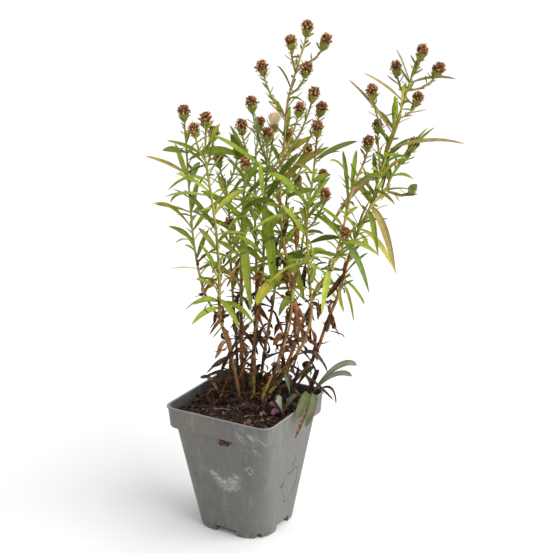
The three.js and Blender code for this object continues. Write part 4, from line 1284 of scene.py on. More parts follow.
def make_leafy(name, parts):
    """The piece of a stem or a shoot, named after its solid, which it hides."""
    make_piece(f"leafy_{name}", parts, ["aster_stem", "aster_leaf", "dried_leaf"], [name])


def litter_leaves(colours, count):
    """Fallen leaves, dry and rolled up, that lie on the soil, most of them at the back and to the left."""
    draws = draw_rows(LITTER_SEEDS[0], count, 11, 10)
    flat = [-38, -34] + [74, 72] * draws[:, :2] ** [1, 0.7]
    length = 4 + 13 * draws[:, 2:3] ** 1.6
    start = on_soil(flat, 0.6)
    end = on_soil(strewn(flat, draws[:, 3], length), 0.6 + 3 * draws[:, 4])
    bend = (start + end) / 2 + (draws[:, [8, 9, 5]] - [0.5, 0.5, -0.1]) * length * 0.5
    seeds = LITTER_SEEDS[1] + np.arange(count)
    tint = picked(colours, ("dead", "umber", "rust", "tan"), (6, 4, 1, 1), seeds) * 0.7
    return leaf_set(
        bent(start, bend, end), 1.6 + 2.6 * draws[:, 6], tint, tint * 0.6, edge=tint * 0.5,
        roll=(draws[:, 7] - 0.5) * 4, twist=(draws[:, 8] - 0.5) * 9, curl=1.2 + 1.5 * draws[:, 9],
        wave=0.45, dip=0.4, belly=(0.8, 0.6),
    )


def soil_fibres(colours, count):
    """Root fibres and straws on the soil."""
    draws = draw_rows(FIBRE_SEEDS[0], count, 9, 8)
    start = -40 + 80 * draws[:, :2]
    end = strewn(start, draws[:, 2], 4 + 12 * draws[:, 3:4])
    middle = (start + end) / 2 + 3 * (draws[:, 4:6] - 0.5)
    lifts = 0.1 + draws[:, 6], 1.4 + 2 * draws[:, 7], 0.2 + draws[:, 5]
    paths = bent(*(on_soil(flat, lift) for flat, lift in zip((start, middle, end), lifts)))
    tint = picked(colours, ("tan", "dead", "umber", "bark"), (2, 3, 3, 2), FIBRE_SEEDS[1] + np.arange(count))
    return rods(paths, 0.18 + 0.3 * draws[:, 6], tint, 0, levels=8, corners=4, crook=1)


def soil_chips(colours, count):
    """Bark chips and crumbs of all sizes, a few large and most small."""
    draws = draw_rows(CHIP_SEEDS[0], count, 9, 8)
    size = 0.45 + 2.3 * draws[:, 2:3] ** 4
    sizes = size * ([1, 0.5, 0.3] + [0.9, 0.4, 0.3] * draws[:, 3:6])
    places = on_soil(SOIL_REACH * (2 * draws[:, :2] - 1), 0.15 * size[:, 0])
    seeds = CHIP_SEEDS[1] + np.arange(count)
    tint = picked(colours, ("bark", "soil", "chip", "tan"), (3, 9, 1.8, 0.6), seeds)
    return lumps(places, sizes, draws[:, 6:8], tint, 0, CHIP_SEEDS[2])


def clinging_bits(colours):
    """Crumbs that stick to the front of the pot under the band, and a few on the wall."""
    index = np.arange(CLINGING_CRUMBS)
    draws = draw_rows(CRUMB_SEEDS[0], CLINGING_CRUMBS, 7, 7)
    x = 6.5 + 10 * (draws[:, 0] - 0.5) * (1 - 0.4 * (index > 14))
    z = 80.6 - 4 * draws[:, 1] ** 1.5
    places = np.stack([x, -wall_at(z) - 0.25, z], axis=1)
    sizes = (0.5 + 0.7 * draws[:, 2:3]) * [1.2, 0.9, 0.8]
    tint = picked(colours, ("chip", "bark", "rust"), (3, 4, 1), CRUMB_SEEDS[1] + index)
    return lumps(places, sizes, draws[:, 3:5], tint, 0, CRUMB_SEEDS[2])


def moss(colours):
    """A tuft of moss in the soil's left corner and two seedlings at the right."""
    hub = np.repeat(MOSS_PLACES, MOSS_BLADES, axis=0)
    draws = draw_rows(MOSS_SEEDS[0], len(hub), 7, 6)
    around = draws[:, 0] * 2 * math.pi
    base = on_soil(hub + ways(around, 0)[:, :2] * (3.2 * np.sqrt(draws[:, 1:2])), -0.6)
    end = base + unit(ways(around, 1.2)) * (1.3 + 1.8 * draws[:, 2:3])
    tint = picked(colours, ("moss_tuft", "lime"), (4, 1), MOSS_SEEDS[1] + np.arange(len(hub)))
    leaves = leaf_set(bent(base, (base + end) / 2 + UP * 0.4, end), 0.8, tint, tint)
    return blades(leaves, 0, levels=4, halves=1, thick=0.2)


# Finishes

def add(tree, kind, inputs=None, **settings):
    """A shader node with its settings, and its inputs linked or set."""
    made = tree.nodes.new(kind)
    for key, value in settings.items():
        setattr(made, key, value)
    for key, value in (inputs or {}).items():
        if isinstance(value, bpy.types.NodeSocket):
            tree.links.new(value, made.inputs[key])
        else:
            made.inputs[key].default_value = value
    return made


def mixed(tree, share, low, high, mode="MIX"):
    """A colour between two, or one blended onto the other."""
    made = tree.nodes.new("ShaderNodeMix")
    made.data_type = "RGBA"
    made.blend_type = mode
    for index, value in ((0, share), (6, low), (7, high)):
        if isinstance(value, bpy.types.NodeSocket):
            tree.links.new(value, made.inputs[index])
        else:
            made.inputs[index].default_value = value if index == 0 else (*value, 1)
    return made.outputs[2]


def counted(tree, operation, first, second=0.0):
    """The result of a sum on one or two numbers."""
    return add(tree, "ShaderNodeMath", {0: first, 1: second}, operation=operation).outputs[0]


def vectored(tree, operation, first, second=(0, 0, 0), output=0):
    """The result of a sum on one or two vectors."""
    return add(tree, "ShaderNodeVectorMath", {0: first, 1: second}, operation=operation).outputs[output]


def times(tree, first, *others):
    """The product of numbers."""
    for other in others:
        first = counted(tree, "MULTIPLY", first, other)
    return first


def laid(tree, colour, tone, *shares):
    """A tone laid on a colour, as far as all the shares allow."""
    return mixed(tree, times(tree, *shares), colour, tuple(tone))


def shaded(tree, colour, mask, clear, full):
    """A colour multiplied by one shade where a mask is clear and by another where it is full."""
    return mixed(tree, 1.0, colour, mixed(tree, mask, clear, full), "MULTIPLY")


def ranged(tree, value, low, high, start=0.0, end=1.0):
    """A number carried smoothly from one range to another."""
    return add(tree, "ShaderNodeMapRange", {0: value, 1: low, 2: high, 3: start, 4: end},
               interpolation_type="SMOOTHSTEP").outputs[0]


def new_group(name, inputs, outputs):
    """An empty node group with number inputs, and outputs of the kinds given."""
    group = bpy.data.node_groups.new(name, "ShaderNodeTree")
    for key, value in inputs.items():
        socket = group.interface.new_socket(name=key, in_out="INPUT", socket_type="NodeSocketFloat")
        socket.default_value = value
    for key, kind in outputs.items():
        group.interface.new_socket(name=key, in_out="OUTPUT", socket_type=kind)
    return group, group.nodes.new("NodeGroupInput"), group.nodes.new("NodeGroupOutput")


def make_groups():
    """The effects that several finishes share: a blotchy mask, a streaky mask, a rough surface, and the
    ribs of a leaf."""
    for name, stretch, values in (
        ("Blotches", 1, {"Scale": 200, "Detail": 4, "Roughness": 0.6, "Low": 0.4, "High": 0.6}),
        ("Streaks", 0.07, {"Scale": 900, "Detail": 3, "Roughness": 0.5, "Low": 0.4, "High": 0.6}),
    ):
        group, given, result = new_group(name, values, {"Mask": "NodeSocketFloat"})
        place = add(group, "ShaderNodeTexCoord").outputs["Object"]
        drawn = add(group, "ShaderNodeMapping", {"Vector": place, "Scale": (1, 1, stretch)}).outputs[0]
        noisy = {key: given.outputs[key] for key in ("Scale", "Detail", "Roughness")}
        pattern = add(group, "ShaderNodeTexNoise", {"Vector": drawn, **noisy})
        mask = ranged(group, pattern.outputs[0], given.outputs["Low"], given.outputs["High"])
        group.links.new(mask, result.inputs["Mask"])

    group, given, result = new_group(
        "Rough surface", {"Scale": 600, "Strength": 0.5, "Distance": 0.0004}, {"Normal": "NodeSocketVector"},
    )
    place = add(group, "ShaderNodeTexCoord").outputs["Object"]
    grain = {"Vector": place, "Scale": given.outputs["Scale"], "Detail": 5}
    pattern = add(group, "ShaderNodeTexNoise", grain)
    depth = {key: given.outputs[key] for key in ("Strength", "Distance")}
    relief = add(group, "ShaderNodeBump", {"Height": pattern.outputs[0], **depth})
    group.links.new(relief.outputs[0], result.inputs["Normal"])

    masks = {"Midrib": "NodeSocketFloat", "Height": "NodeSocketFloat"}
    group, given, result = new_group("Leaf ribs", {"Width": 0.07, "Side ribs": 9}, masks)
    surface = add(group, "ShaderNodeUVMap", uv_map="Surface").outputs[0]
    across, along_leaf, _ = add(group, "ShaderNodeSeparateXYZ", {0: surface}).outputs
    offside = counted(group, "ABSOLUTE", counted(group, "SUBTRACT", across, 0.5))
    midrib = ranged(group, offside, 0.0, given.outputs["Width"], 1.0, 0.0)
    slant = counted(group, "SUBTRACT", along_leaf, times(group, offside, 0.35))
    turns = times(group, given.outputs["Side ribs"], 2 * math.pi)
    ribs = ranged(group, counted(group, "SINE", times(group, slant, turns)), 0.6, 1.0)
    height = counted(group, "ADD", times(group, midrib, -1.0), times(group, ribs, -0.4))
    group.links.new(midrib, result.inputs["Midrib"])
    group.links.new(height, result.inputs["Height"])


def grouped(tree, name, **inputs):
    """A placed node group with its own values."""
    made = tree.nodes.new("ShaderNodeGroup")
    made.node_tree = bpy.data.node_groups[name]
    for key, value in inputs.items():
        made.inputs[key].default_value = value
    return made


def masked(tree, name, scale, low, high, **more):
    """The mask of a placed group of blotches or streaks."""
    return grouped(tree, name, Scale=scale, Low=low, High=high, **more).outputs[0]


def roughened(tree, scale, strength, distance):
    """The normal of a placed rough surface."""
    return grouped(tree, "Rough surface", Scale=scale, Strength=strength, Distance=distance).outputs[0]


def raised(tree, height, strength, distance, **normal):
    """The normal of a relief of some height."""
    values = {"Height": height, "Strength": strength, "Distance": distance, **normal}
    return add(tree, "ShaderNodeBump", values).outputs[0]


def new_finish(name, shine=0.2):
    """A material's tree and the surface's own colour."""
    finish = bpy.data.materials.new(name)
    finish.use_nodes = True
    tree = finish.node_tree
    tree.nodes["Principled BSDF"].inputs["Specular IOR Level"].default_value = shine
    return tree, add(tree, "ShaderNodeAttribute", attribute_name="Tint").outputs["Color"]


def dress(tree, colour, mask, rough, normal):
    """Links a material's shader: its colour, its roughness, which runs with a mask over a range or is given
    ready, and its normal where it has one."""
    shader = tree.nodes["Principled BSDF"]
    tree.links.new(colour, shader.inputs["Base Color"])
    tree.links.new(ranged(tree, mask, 0, 1, *rough) if rough else mask, shader.inputs["Roughness"])
    if normal:
        tree.links.new(normal, shader.inputs["Normal"])


# Finishes with one mask: its group and values, the shades where it is clear and full, the range of
# roughness, the scale, strength and depth of the relief, and the shine. A withered leaf is blotched,
# wrinkled and dull, a dried floret mottled, seed down silky with upright streaks, and a bark chip dark
# along its grain.
PLAIN_FINISHES = {
    "dried_leaf": (
        ("Blotches", 420, 0.35, 0.65), (1.15, 1.1, 1.05), (0.44, 0.42, 0.4), (0.7, 0.95),
        (900, 0.8, 0.0006), 0.2,
    ),
    "dried_floret": (
        ("Blotches", 900, 0.35, 0.65), (1.25, 1.22, 1.15), (0.72, 0.66, 0.6), (0.75, 0.95),
        (1800, 0.6, 0.0003), 0.2,
    ),
    "seed_down": (
        ("Streaks", 2600, 0.4, 0.65), (1.05, 1.05, 1.05), (0.8, 0.76, 0.68), (0.7, 0.9), None, 0.2,
    ),
    "bark_chip": (
        ("Blotches", 1600, 0.4, 0.6), (1.3, 1.25, 1.2), (0.45, 0.42, 0.4), (0.75, 0.95),
        (1300, 0.9, 0.0006), 0.5,
    ),
}


def make_plain_finishes():
    """The finishes with one mask."""
    for name, (pattern, clear, full, rough, relief, shine) in PLAIN_FINISHES.items():
        tree, tint = new_finish(name, shine)
        mask = masked(tree, *pattern)
        dress(tree, shaded(tree, tint, mask, clear, full), mask, rough, relief and roughened(tree, *relief))


def make_leaf_finish(colours):
    """Living leaf: blotched, with a paler midrib, brown specks and pressed-in ribs."""
    tree, tint = new_finish("aster_leaf")
    ribs = grouped(tree, "Leaf ribs")
    blotch = masked(tree, "Blotches", 220, 0.35, 0.7)
    speck = masked(tree, "Blotches", 1100, 0.68, 0.74, Detail=2)
    colour = shaded(tree, tint, blotch, (1.05, 1.05, 1.05), (0.76, 0.8, 0.72))
    bright = mixed(tree, 1.0, colour, (1.9, 1.75, 2.6), "MULTIPLY")
    colour = mixed(tree, times(tree, ribs.outputs["Midrib"], 0.5), colour, bright)
    colour = laid(tree, colour, colours["umber"], speck, 0.7)
    dress(tree, colour, blotch, (0.42, 0.6), raised(tree, ribs.outputs["Height"], 0.5, 0.0003))


def make_stem_finish(colours):
    """Stem: long streaks of brown over its colour, and fine ridges."""
    tree, tint = new_finish("aster_stem")
    streak = masked(tree, "Streaks", 1300, 0.42, 0.62)
    colour = laid(tree, tint, colours["bark"], streak, 0.22)
    blotch = masked(tree, "Blotches", 160, 0.4, 0.7)
    colour = shaded(tree, colour, blotch, (1.1, 1.1, 1.1), (0.78, 0.74, 0.68))
    dress(tree, colour, streak, (0.45, 0.65), raised(tree, streak, 0.5, 0.0003))


def make_soil_finish(colours):
    """Potting soil: nearly black peat with brown and orange-brown flecks, and a crumbly surface."""
    tree, tint = new_finish("potting_soil")
    brown = masked(tree, "Blotches", 500, 0.45, 0.65)
    fleck = masked(tree, "Blotches", 1500, 0.62, 0.68, Detail=2)
    colour = laid(tree, laid(tree, tint, colours["bark"], brown), colours["chip"], fleck, 0.8)
    dress(tree, colour, brown, (0.85, 1.0), roughened(tree, 1400, 1.0, 0.0012))


def spot(tree, place, centre, low, high):
    """A mask that is 1 within low millimetres of a point of the pot and 0 beyond high."""
    gap = vectored(tree, "DISTANCE", place, tuple(np.array(centre) * MM + POT_AXIS), "Value")
    return ranged(tree, gap, low * MM, high * MM, 1.0, 0.0)


def spots(tree, place, rows):
    """A mask of several soft spots, each given by a point of the pot and a radius."""
    mask = 0.0
    for *centre, radius in rows:
        mask = counted(tree, "MAXIMUM", mask, spot(tree, place, centre, radius * 0.3, radius))
    return mask


def loosened(tree, place, scale, reach):
    """A place moved about by noise that reaches some millimetres."""
    warp = add(tree, "ShaderNodeTexNoise", {"Vector": place, "Scale": scale, "Detail": 5}).outputs["Color"]
    shift = vectored(tree, "MULTIPLY", vectored(tree, "SUBTRACT", warp, (0.5, 0.5, 0.5)), (reach * MM,) * 3)
    return vectored(tree, "ADD", place, shift)


# Marks on the pot: soft spots by place and radius, for the chalky stain, the scraped part of the band and a
# dark streak on its right face; two outlines by warp, centre, radius, share and colour; the mud and the
# drains
STAIN_SPOTS = (
    (-6, -36.8, 50, 4), (-2, -36.5, 45, 6), (4, -36.3, 43, 6), (10, -36.5, 46, 7), (13, -37.2, 52, 4),
)
SCRAPE_SPOTS = ((24, -44, 92, 9), (31, -44, 88, 12), (37, -43, 84, 9), (29, -39, 78, 7))
STREAK_SPOTS = ((44.4, -4, 96, 3), (44.3, -8, 93, 3), (44.2, -12, 90, 2.4), (44, -17, 87, 2.2))
WATER_RIM = ((55, 34), (36, 6, 38), 13, 0.85, "soil")
PALE_RING = ((120, 11), (25, -39, 60), 3.4, 0.3, "chalk")
MUD_PLACE = (-22, -42, 86)
MUD_RADIUS = 22
SCRAPE_SLANT = math.radians(-35)
DRAIN_PLACE = (24.3, 24.3, 1.6)


def make_plastic_finish(colours):
    """Grey moulded plastic: faint clouds and rain streaks, dust and mud on the band, brown specks, a chalky
    stain, scrape marks, a painted highlight along the top of the lip, two rims of dried water, a dark streak,
    splashes at the foot and the drains darkened with the bark colour."""
    tree, tint = new_finish("nursery_plastic", 0.5)
    chalk, tan, bark = (colours[key] for key in ("chalk", "tan", "bark"))
    place = add(tree, "ShaderNodeTexCoord").outputs["Object"]
    height = add(tree, "ShaderNodeSeparateXYZ", {0: place}).outputs[2]
    cloud = masked(tree, "Blotches", 45, 0.35, 0.7, Detail=5)
    colour = shaded(tree, tint, cloud, (0.92, 0.92, 0.92), (1.12, 1.12, 1.1))
    colour = laid(tree, colour, chalk, masked(tree, "Streaks", 260, 0.5, 0.8), 0.12)
    dust = masked(tree, "Blotches", 900, 0.55, 0.75, Detail=3)
    colour = laid(tree, colour, tan, dust, ranged(tree, height, 0.055, 0.095), 0.22)
    smear = masked(tree, "Blotches", 150, 0.35, 0.75, Detail=8)
    colour = laid(tree, colour, tan, spot(tree, place, MUD_PLACE, 0, MUD_RADIUS), smear, 0.3)
    colour = laid(tree, colour, bark, masked(tree, "Blotches", 420, 0.7, 0.74, Detail=1), 0.75)

    loose = loosened(tree, place, *PALE_RING[0])
    stain = spots(tree, loose, STAIN_SPOTS)
    chalky = times(tree, stain, masked(tree, "Blotches", 620, 0.28, 0.72, Detail=9))
    colour = laid(tree, colour, chalk, chalky, 0.7)

    slanted = add(tree, "ShaderNodeMapping", {"Vector": place, "Rotation": (0, SCRAPE_SLANT, 0)}).outputs[0]
    drawn = add(tree, "ShaderNodeMapping", {"Vector": slanted, "Scale": (0.035, 0.6, 1)}).outputs[0]
    lines = add(tree, "ShaderNodeTexNoise", {"Vector": drawn, "Scale": 1100, "Detail": 4}).outputs[0]
    scrapes = times(tree, ranged(tree, lines, 0.49, 0.6), masked(tree, "Blotches", 150, 0.35, 0.7, Detail=4))
    scrapes = times(tree, scrapes, spots(tree, loose, SCRAPE_SPOTS))
    scraped = counted(tree, "MAXIMUM", scrapes, times(tree, ranged(tree, lines, 0.62, 0.7), 0.22))
    colour = laid(tree, colour, chalk, scraped, 0.85)
    # A painted highlight along the top of the lip, in the chalk colour
    colour = laid(tree, colour, chalk, ranged(tree, height, 0.0984, 0.0988, 0.0, 0.35))

    for warp, centre, radius, share, tone in (WATER_RIM, PALE_RING):
        where = loosened(tree, place, *warp)
        near = spot(tree, where, centre, radius + 0.1, radius + 1)
        inside = spot(tree, where, centre, radius - 1, radius - 0.1)
        colour = laid(tree, colour, colours[tone], counted(tree, "SUBTRACT", near, inside), share)
    colour = laid(tree, colour, colours["plastic"] * 0.4, spots(tree, loose, STREAK_SPOTS), 0.55)

    low = ranged(tree, height, 0.002, 0.014, 0.6, 0.0)
    colour = laid(tree, colour, bark, masked(tree, "Blotches", 420, 0.52, 0.66, Detail=4), low)
    # The drains and the plastic just round them take the dark bark colour
    quarter = vectored(tree, "ABSOLUTE", vectored(tree, "SUBTRACT", place, tuple(POT_AXIS)))
    gap = vectored(tree, "DISTANCE", quarter, tuple(np.array(DRAIN_PLACE) * MM), "Value")
    colour = laid(tree, colour, bark, ranged(tree, gap, 0.0018, 0.003, 0.9, 0.0))

    dull = times(tree, counted(tree, "MAXIMUM", stain, scraped), 0.25)
    rough = counted(tree, "ADD", ranged(tree, cloud, 0, 1, 0.42, 0.58), dull)
    grain = roughened(tree, 1700, 0.12, 0.0002)
    relief = raised(tree, counted(tree, "ADD", scraped, chalky), 0.3, 0.0002, Normal=grain)
    dress(tree, colour, rough, None, relief)


def colour_prop(name, description, default):
    """A colour that the user may change."""
    return bpy.props.FloatVectorProperty(
        name=name, description=description, subtype="COLOR", size=3, min=0, max=1, default=default,
    )


def count_prop(name, description, default, low, high):
    """A count that the user may change."""
    return bpy.props.IntProperty(name=name, description=description, default=default, min=low, max=high)


class AsterColours(bpy.types.PropertyGroup):
    """The colours of the plant, the soil and the pot."""

    green: colour_prop("Green leaf", "Most of the living leaves", (0.215, 0.29, 0.019))
    deep: colour_prop("Deep green leaf", "The darkest living leaves", (0.125, 0.175, 0.016))
    lime: colour_prop("Lime leaf", "Young yellow-green leaves", (0.34, 0.4, 0.05))
    blue: colour_prop("Blue-green leaf", "Cooler green leaves", (0.17, 0.245, 0.05))
    yellow: colour_prop("Yellow leaf", "Leaves that turn yellow", (0.5, 0.47, 0.08))
    spotted: colour_prop("Spotted leaf", "The yellow leaf with spots", (0.5, 0.47, 0.045))
    olive: colour_prop("Olive leaf", "Leaves that turn from green to red", (0.4, 0.33, 0.05))
    pink: colour_prop("Pinkish leaf", "Reddened leaves at the right", (0.37, 0.3, 0.1))
    sage: colour_prop("Sage leaf", "Grey-green leaves of the young shoots", (0.25, 0.31, 0.19))
    dusky: colour_prop("Dusky leaf", "Older leaves of the young shoots", (0.095, 0.125, 0.04))
    plum: colour_prop("Plum leaf", "Purple parts of the young shoots", (0.12, 0.04, 0.06))
    cup: colour_prop("Cup", "The green cup under a head", (0.24, 0.22, 0.05))
    rust: colour_prop("Rust leaf", "Fresh brown withered leaves", (0.31, 0.125, 0.043))
    umber: colour_prop("Umber leaf", "Dark withered leaves", (0.1, 0.045, 0.023))
    dead: colour_prop("Dead leaf", "Grey-brown leaves near the soil", (0.096, 0.064, 0.046))
    tan: colour_prop("Tan", "Pale dry leaves and straws", (0.42, 0.28, 0.16))
    amber: colour_prop("Amber", "Orange-brown stems and floret tips", (0.4, 0.2, 0.075))
    russet: colour_prop("Russet", "Red-brown stems", (0.24, 0.12, 0.052))
    straw: colour_prop("Straw", "Yellowish stems", (0.4, 0.33, 0.08))
    moss_stem: colour_prop("Green stem", "Green stems", (0.27, 0.27, 0.06))
    bark: colour_prop("Bark", "Dark brown stems and bark", (0.085, 0.046, 0.026))
    hazel: colour_prop("Hazel stem", "Light brown stems", (0.56, 0.34, 0.125))
    husk: colour_prop("Husk", "The crumpled ends of dried florets", (0.76, 0.48, 0.22))
    floret: colour_prop("Floret", "The dark foot of a dried floret", (0.19, 0.083, 0.034))
    down: colour_prop("Seed down", "Ripe seed down", (0.93, 0.8, 0.55))
    soil: colour_prop("Soil", "Moist potting soil", (0.0078, 0.006, 0.0055))
    chip: colour_prop("Chip", "Orange-brown bark chips", (0.185, 0.084, 0.044))
    moss_tuft: colour_prop("Moss", "Moss on the soil", (0.12, 0.22, 0.03))
    plastic: colour_prop("Plastic", "The pot's grey plastic", (0.122, 0.12, 0.109))
    chalk: colour_prop("Chalk", "Dried lime and scrape marks on the pot", (0.52, 0.52, 0.49))


class AsterCounts(bpy.types.PropertyGroup):
    """How much there is of what is scattered, and the size of the floor."""

    florets: count_prop("Florets", "Dried florets in each spent head", 52, 10, 120)
    hairs: count_prop("Hairs", "Hairs of down on the ripe head", 420, 50, 2000)
    chips: count_prop("Chips", "Bark chips and crumbs on the soil", 2100, 50, 4000)
    litter: count_prop("Fallen leaves", "Withered leaves on the soil", 150, 5, 400)
    fibres: count_prop("Fibres", "Root fibres and straws on the soil", 170, 5, 600)
    floor: bpy.props.FloatProperty(
        name="Floor size", description="Length of the floor's sides", default=24, min=2, unit="LENGTH",
    )


class ASTER_OT_finishes(bpy.types.Operator):
    """Makes the materials of the plant, the soil and the pot"""

    bl_idname = "aster.finishes"
    bl_label = "Finishes"

    def execute(self, context):
        colours = palette()
        make_groups()
        make_plain_finishes()
        for make in (make_leaf_finish, make_stem_finish, make_soil_finish, make_plastic_finish):
            make(colours)
        return {"FINISHED"}


class ASTER_OT_pot(bpy.types.Operator):
    """Makes the nursery pot with its band, lip, feet and drains, and the crumbs that cling to it"""

    bl_idname = "aster.pot"
    bl_label = "Pot"

    def execute(self, context):
        colours = palette()
        tint = colours["plastic"]
        rings = pot_rings()
        # The rings of the inner wall take half the plastic's colour: painted shade inside the pot
        inner_wall_shade = np.repeat([1, 0.5], [len(rings) - INNER_RINGS, INNER_RINGS])
        parts = [
            shells(rings[None], np.zeros(2), tint * inner_wall_shade[:, None, None], 0),
            shells(foot_rings(), np.zeros(2), tint, 0),
        ]
        make_piece("nursery_pot", parts, ["nursery_plastic"], ["pot"], sharp=38)
        make_piece("clinging_crumbs", [clinging_bits(colours)], ["bark_chip"])
        return {"FINISHED"}


class ASTER_OT_soil(bpy.types.Operator):
    """Makes the soil with its bark chips, fibres, fallen leaves and moss"""

    bl_idname = "aster.soil"
    bl_label = "Soil"

    def execute(self, context):
        colours = palette()
        counts = context.scene.aster_counts
        rings = soil_rings()
        shade = 0.8 + 0.5 * noise(rings[..., :2], 9.0, 2)
        tint = colours["soil"] * shade[..., None]
        bed = shells(rings[None], np.zeros(2), tint[None], 0)
        make_piece("soil_bed", [bed], ["potting_soil"], ["soil"])
        make_piece("bark_chips", [soil_chips(colours, counts.chips)], ["bark_chip"])
        make_piece("soil_fibres", [soil_fibres(colours, counts.fibres)], ["dried_leaf"])
        fallen = blades(litter_leaves(colours, counts.litter), 0, levels=12)
        make_piece("fallen_leaves", [fallen], ["dried_leaf"])
        make_piece("moss_tufts", [moss(colours)], ["aster_leaf"])
        return {"FINISHED"}


class ASTER_OT_stems(bpy.types.Operator):
    """Makes the stems with their leaves, head stalks and cups"""

    bl_idname = "aster.stems"
    bl_label = "Leafy stems"

    def execute(self, context):
        colours = palette()
        for seed, (name, plan) in enumerate(STEMS.items()):
            make_leafy(name, stem_parts(name, plan, seed + 1, colours))
        return {"FINISHED"}


class ASTER_OT_shoots(bpy.types.Operator):
    """Makes the young shoots at the soil"""

    bl_idname = "aster.shoots"
    bl_label = "Young shoots"

    def execute(self, context):
        colours = palette()
        for seed, (name, plan) in enumerate(SHOOTS.items()):
            make_leafy(name, shoot_parts(plan, seed + 1, colours))
        return {"FINISHED"}


class ASTER_OT_florets(bpy.types.Operator):
    """Makes the dried florets of the spent heads, stem by stem"""

    bl_idname = "aster.florets"
    bl_label = "Spent florets"

    def execute(self, context):
        colours = palette()
        count = context.scene.aster_counts.florets
        spent = [row for row in numbered_heads() if row[0] != RIPE_HEAD]
        for name in STEMS:
            rows = [(number, head) for number, stem, head in spent if stem == name]
            parts = [part for number, head in rows for part in florets(head, number, colours, count)]
            nodes = [f"head_{number:02d}" for number, head in rows]
            if parts:
                make_piece(f"florets_{name}", parts, ["dried_floret"], nodes)
        return {"FINISHED"}


class ASTER_OT_down(bpy.types.Operator):
    """Makes the down of the ripe head"""

    bl_idname = "aster.down"
    bl_label = "Seed down"

    def execute(self, context):
        head = numbered_heads()[RIPE_HEAD - 1][2]
        parts = fluff(head, palette(), context.scene.aster_counts.hairs)
        make_piece("seed_down", parts, ["seed_down"], [f"head_{RIPE_HEAD:02d}"])
        return {"FINISHED"}


# The stage: the strength of the air's light, the lights by kind, place from the plant's middle, power and
# form, and the camera, whose target lies to the right of the pot's axis and above the floor, in millimetres
AIR = 0.6
PLANT_MIDDLE = (0, 0, 0.19)
LIGHTS = (
    ("fill_light", "AREA", (-1.2, -1.3, 0.9), 2, {"shape": "DISK", "size": 1.4}),
    ("rim_light", "AREA", (0.3, 1.2, 1.3), 6, {"shape": "DISK", "size": 1}),
    ("window_light", "SUN", (1.6, 0.1, 0.85), 3.3, {"angle": math.radians(70)}),
)
VIEW_AZIMUTH = math.radians(29.78)
VIEW_ELEVATION = math.radians(16.95)
VIEW_DISTANCE = 882.54
VIEW_RIGHT = 22.49
VIEW_UP = 193.33
CAMERA = {"sensor_width": 36, "lens": 79.34, "clip_start": 0.05, "clip_end": 60}


def stood(data, place, way, settings):
    """An object at a place that looks along a way, with its data's settings."""
    for key, value in settings.items():
        setattr(data, key, value)
    made = bpy.data.objects.new(data.name, data)
    bpy.context.scene.collection.objects.link(made)
    made.location = place
    made.rotation_euler = Vector(way).to_track_quat("-Z", "Y").to_euler()
    return made


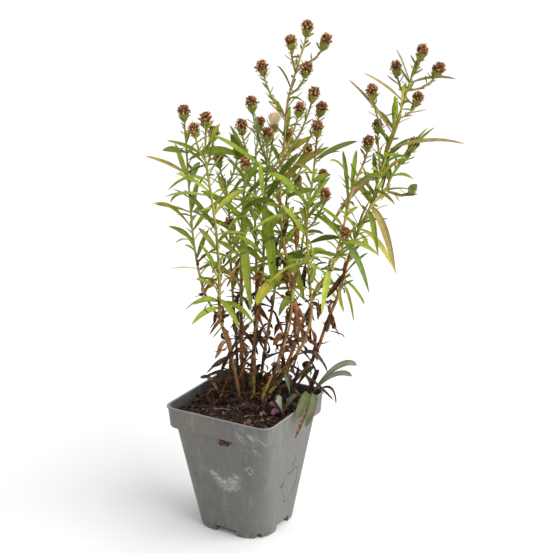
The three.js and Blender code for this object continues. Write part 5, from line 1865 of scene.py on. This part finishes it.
class ASTER_OT_stage(bpy.types.Operator):
    """Makes the pale floor, the soft lights and the camera"""

    bl_idname = "aster.stage"
    bl_label = "Stage"

    def execute(self, context):
        scene = context.scene
        half = scene.aster_counts.floor / 2
        mesh = bpy.data.meshes.new("studio_floor")
        corners = [(-half, -half, 0), (half, -half, 0), (half, half, 0), (-half, half, 0)]
        mesh.from_pydata(corners, [], [(0, 1, 2, 3)])
        floor = bpy.data.objects.new("studio_floor", mesh)
        scene.collection.objects.link(floor)
        finish = bpy.data.materials.new("studio_floor")
        finish.use_nodes = True
        tree = finish.node_tree
        shader = tree.nodes["Principled BSDF"]
        shader.inputs["Roughness"].default_value = 0.9
        cloud = add(tree, "ShaderNodeTexNoise", {"Scale": 3, "Detail": 2}).outputs[0]
        pale = mixed(tree, cloud, (0.93, 0.93, 0.93), (0.95, 0.95, 0.95))
        tree.links.new(pale, shader.inputs["Base Color"])
        mesh.materials.append(finish)

        world = bpy.data.worlds.new("studio_air")
        world.use_nodes = True
        world.node_tree.nodes["Background"].inputs["Color"].default_value = (1, 1, 1, 1)
        world.node_tree.nodes["Background"].inputs["Strength"].default_value = AIR
        scene.world = world
        scene.view_settings.view_transform = "Standard"

        for name, kind, place, power, form in LIGHTS:
            light = bpy.data.lights.new(name, kind)
            middle = POT_AXIS + PLANT_MIDDLE
            stood(light, middle + place, [-value for value in place], {"energy": power, **form})

        level = math.cos(VIEW_ELEVATION)
        back = np.array([
            math.sin(VIEW_AZIMUTH) * level, -math.cos(VIEW_AZIMUTH) * level, math.sin(VIEW_ELEVATION),
        ])
        right = np.array([math.cos(VIEW_AZIMUTH), math.sin(VIEW_AZIMUTH), 0])
        target = POT_AXIS + (right * VIEW_RIGHT + UP * VIEW_UP) * MM
        view = bpy.data.cameras.new("photo_view")
        scene.camera = stood(view, target + back * VIEW_DISTANCE * MM, (-back).tolist(), CAMERA)
        return {"FINISHED"}


class ASTER_PT_panel(bpy.types.Panel):
    """The operators, colours and counts of the potted aster"""

    bl_idname = "ASTER_PT_panel"
    bl_label = "Potted aster"
    bl_space_type = "VIEW_3D"
    bl_region_type = "UI"
    bl_category = "Potted aster"

    def draw(self, context):
        for maker in OPERATORS:
            self.layout.operator(maker.bl_idname)
        for group in (context.scene.aster_counts, context.scene.aster_colours):
            box = self.layout.box()
            for key in type(group).__annotations__:
                box.prop(group, key)


OPERATORS = (
    ASTER_OT_stage, ASTER_OT_finishes, ASTER_OT_pot, ASTER_OT_soil, ASTER_OT_stems, ASTER_OT_shoots,
    ASTER_OT_florets, ASTER_OT_down,
)
CLASSES = (AsterColours, AsterCounts, *OPERATORS, ASTER_PT_panel)


def register():
    """Registers the classes and gives the scene its settings."""
    for made in CLASSES:
        bpy.utils.register_class(made)
    bpy.types.Scene.aster_colours = bpy.props.PointerProperty(type=AsterColours)
    bpy.types.Scene.aster_counts = bpy.props.PointerProperty(type=AsterCounts)


def unregister():
    """Takes the settings and the classes away again."""
    del bpy.types.Scene.aster_counts
    del bpy.types.Scene.aster_colours
    for made in reversed(CLASSES):
        bpy.utils.unregister_class(made)


def main():
    """Makes everything in order."""
    register()
    for maker in OPERATORS:
        group, name = maker.bl_idname.split(".")
        if getattr(getattr(bpy.ops, group), name)() != {"FINISHED"}:
            raise RuntimeError(f"{maker.bl_label} was not made")


if __name__ == "__main__":
    main()
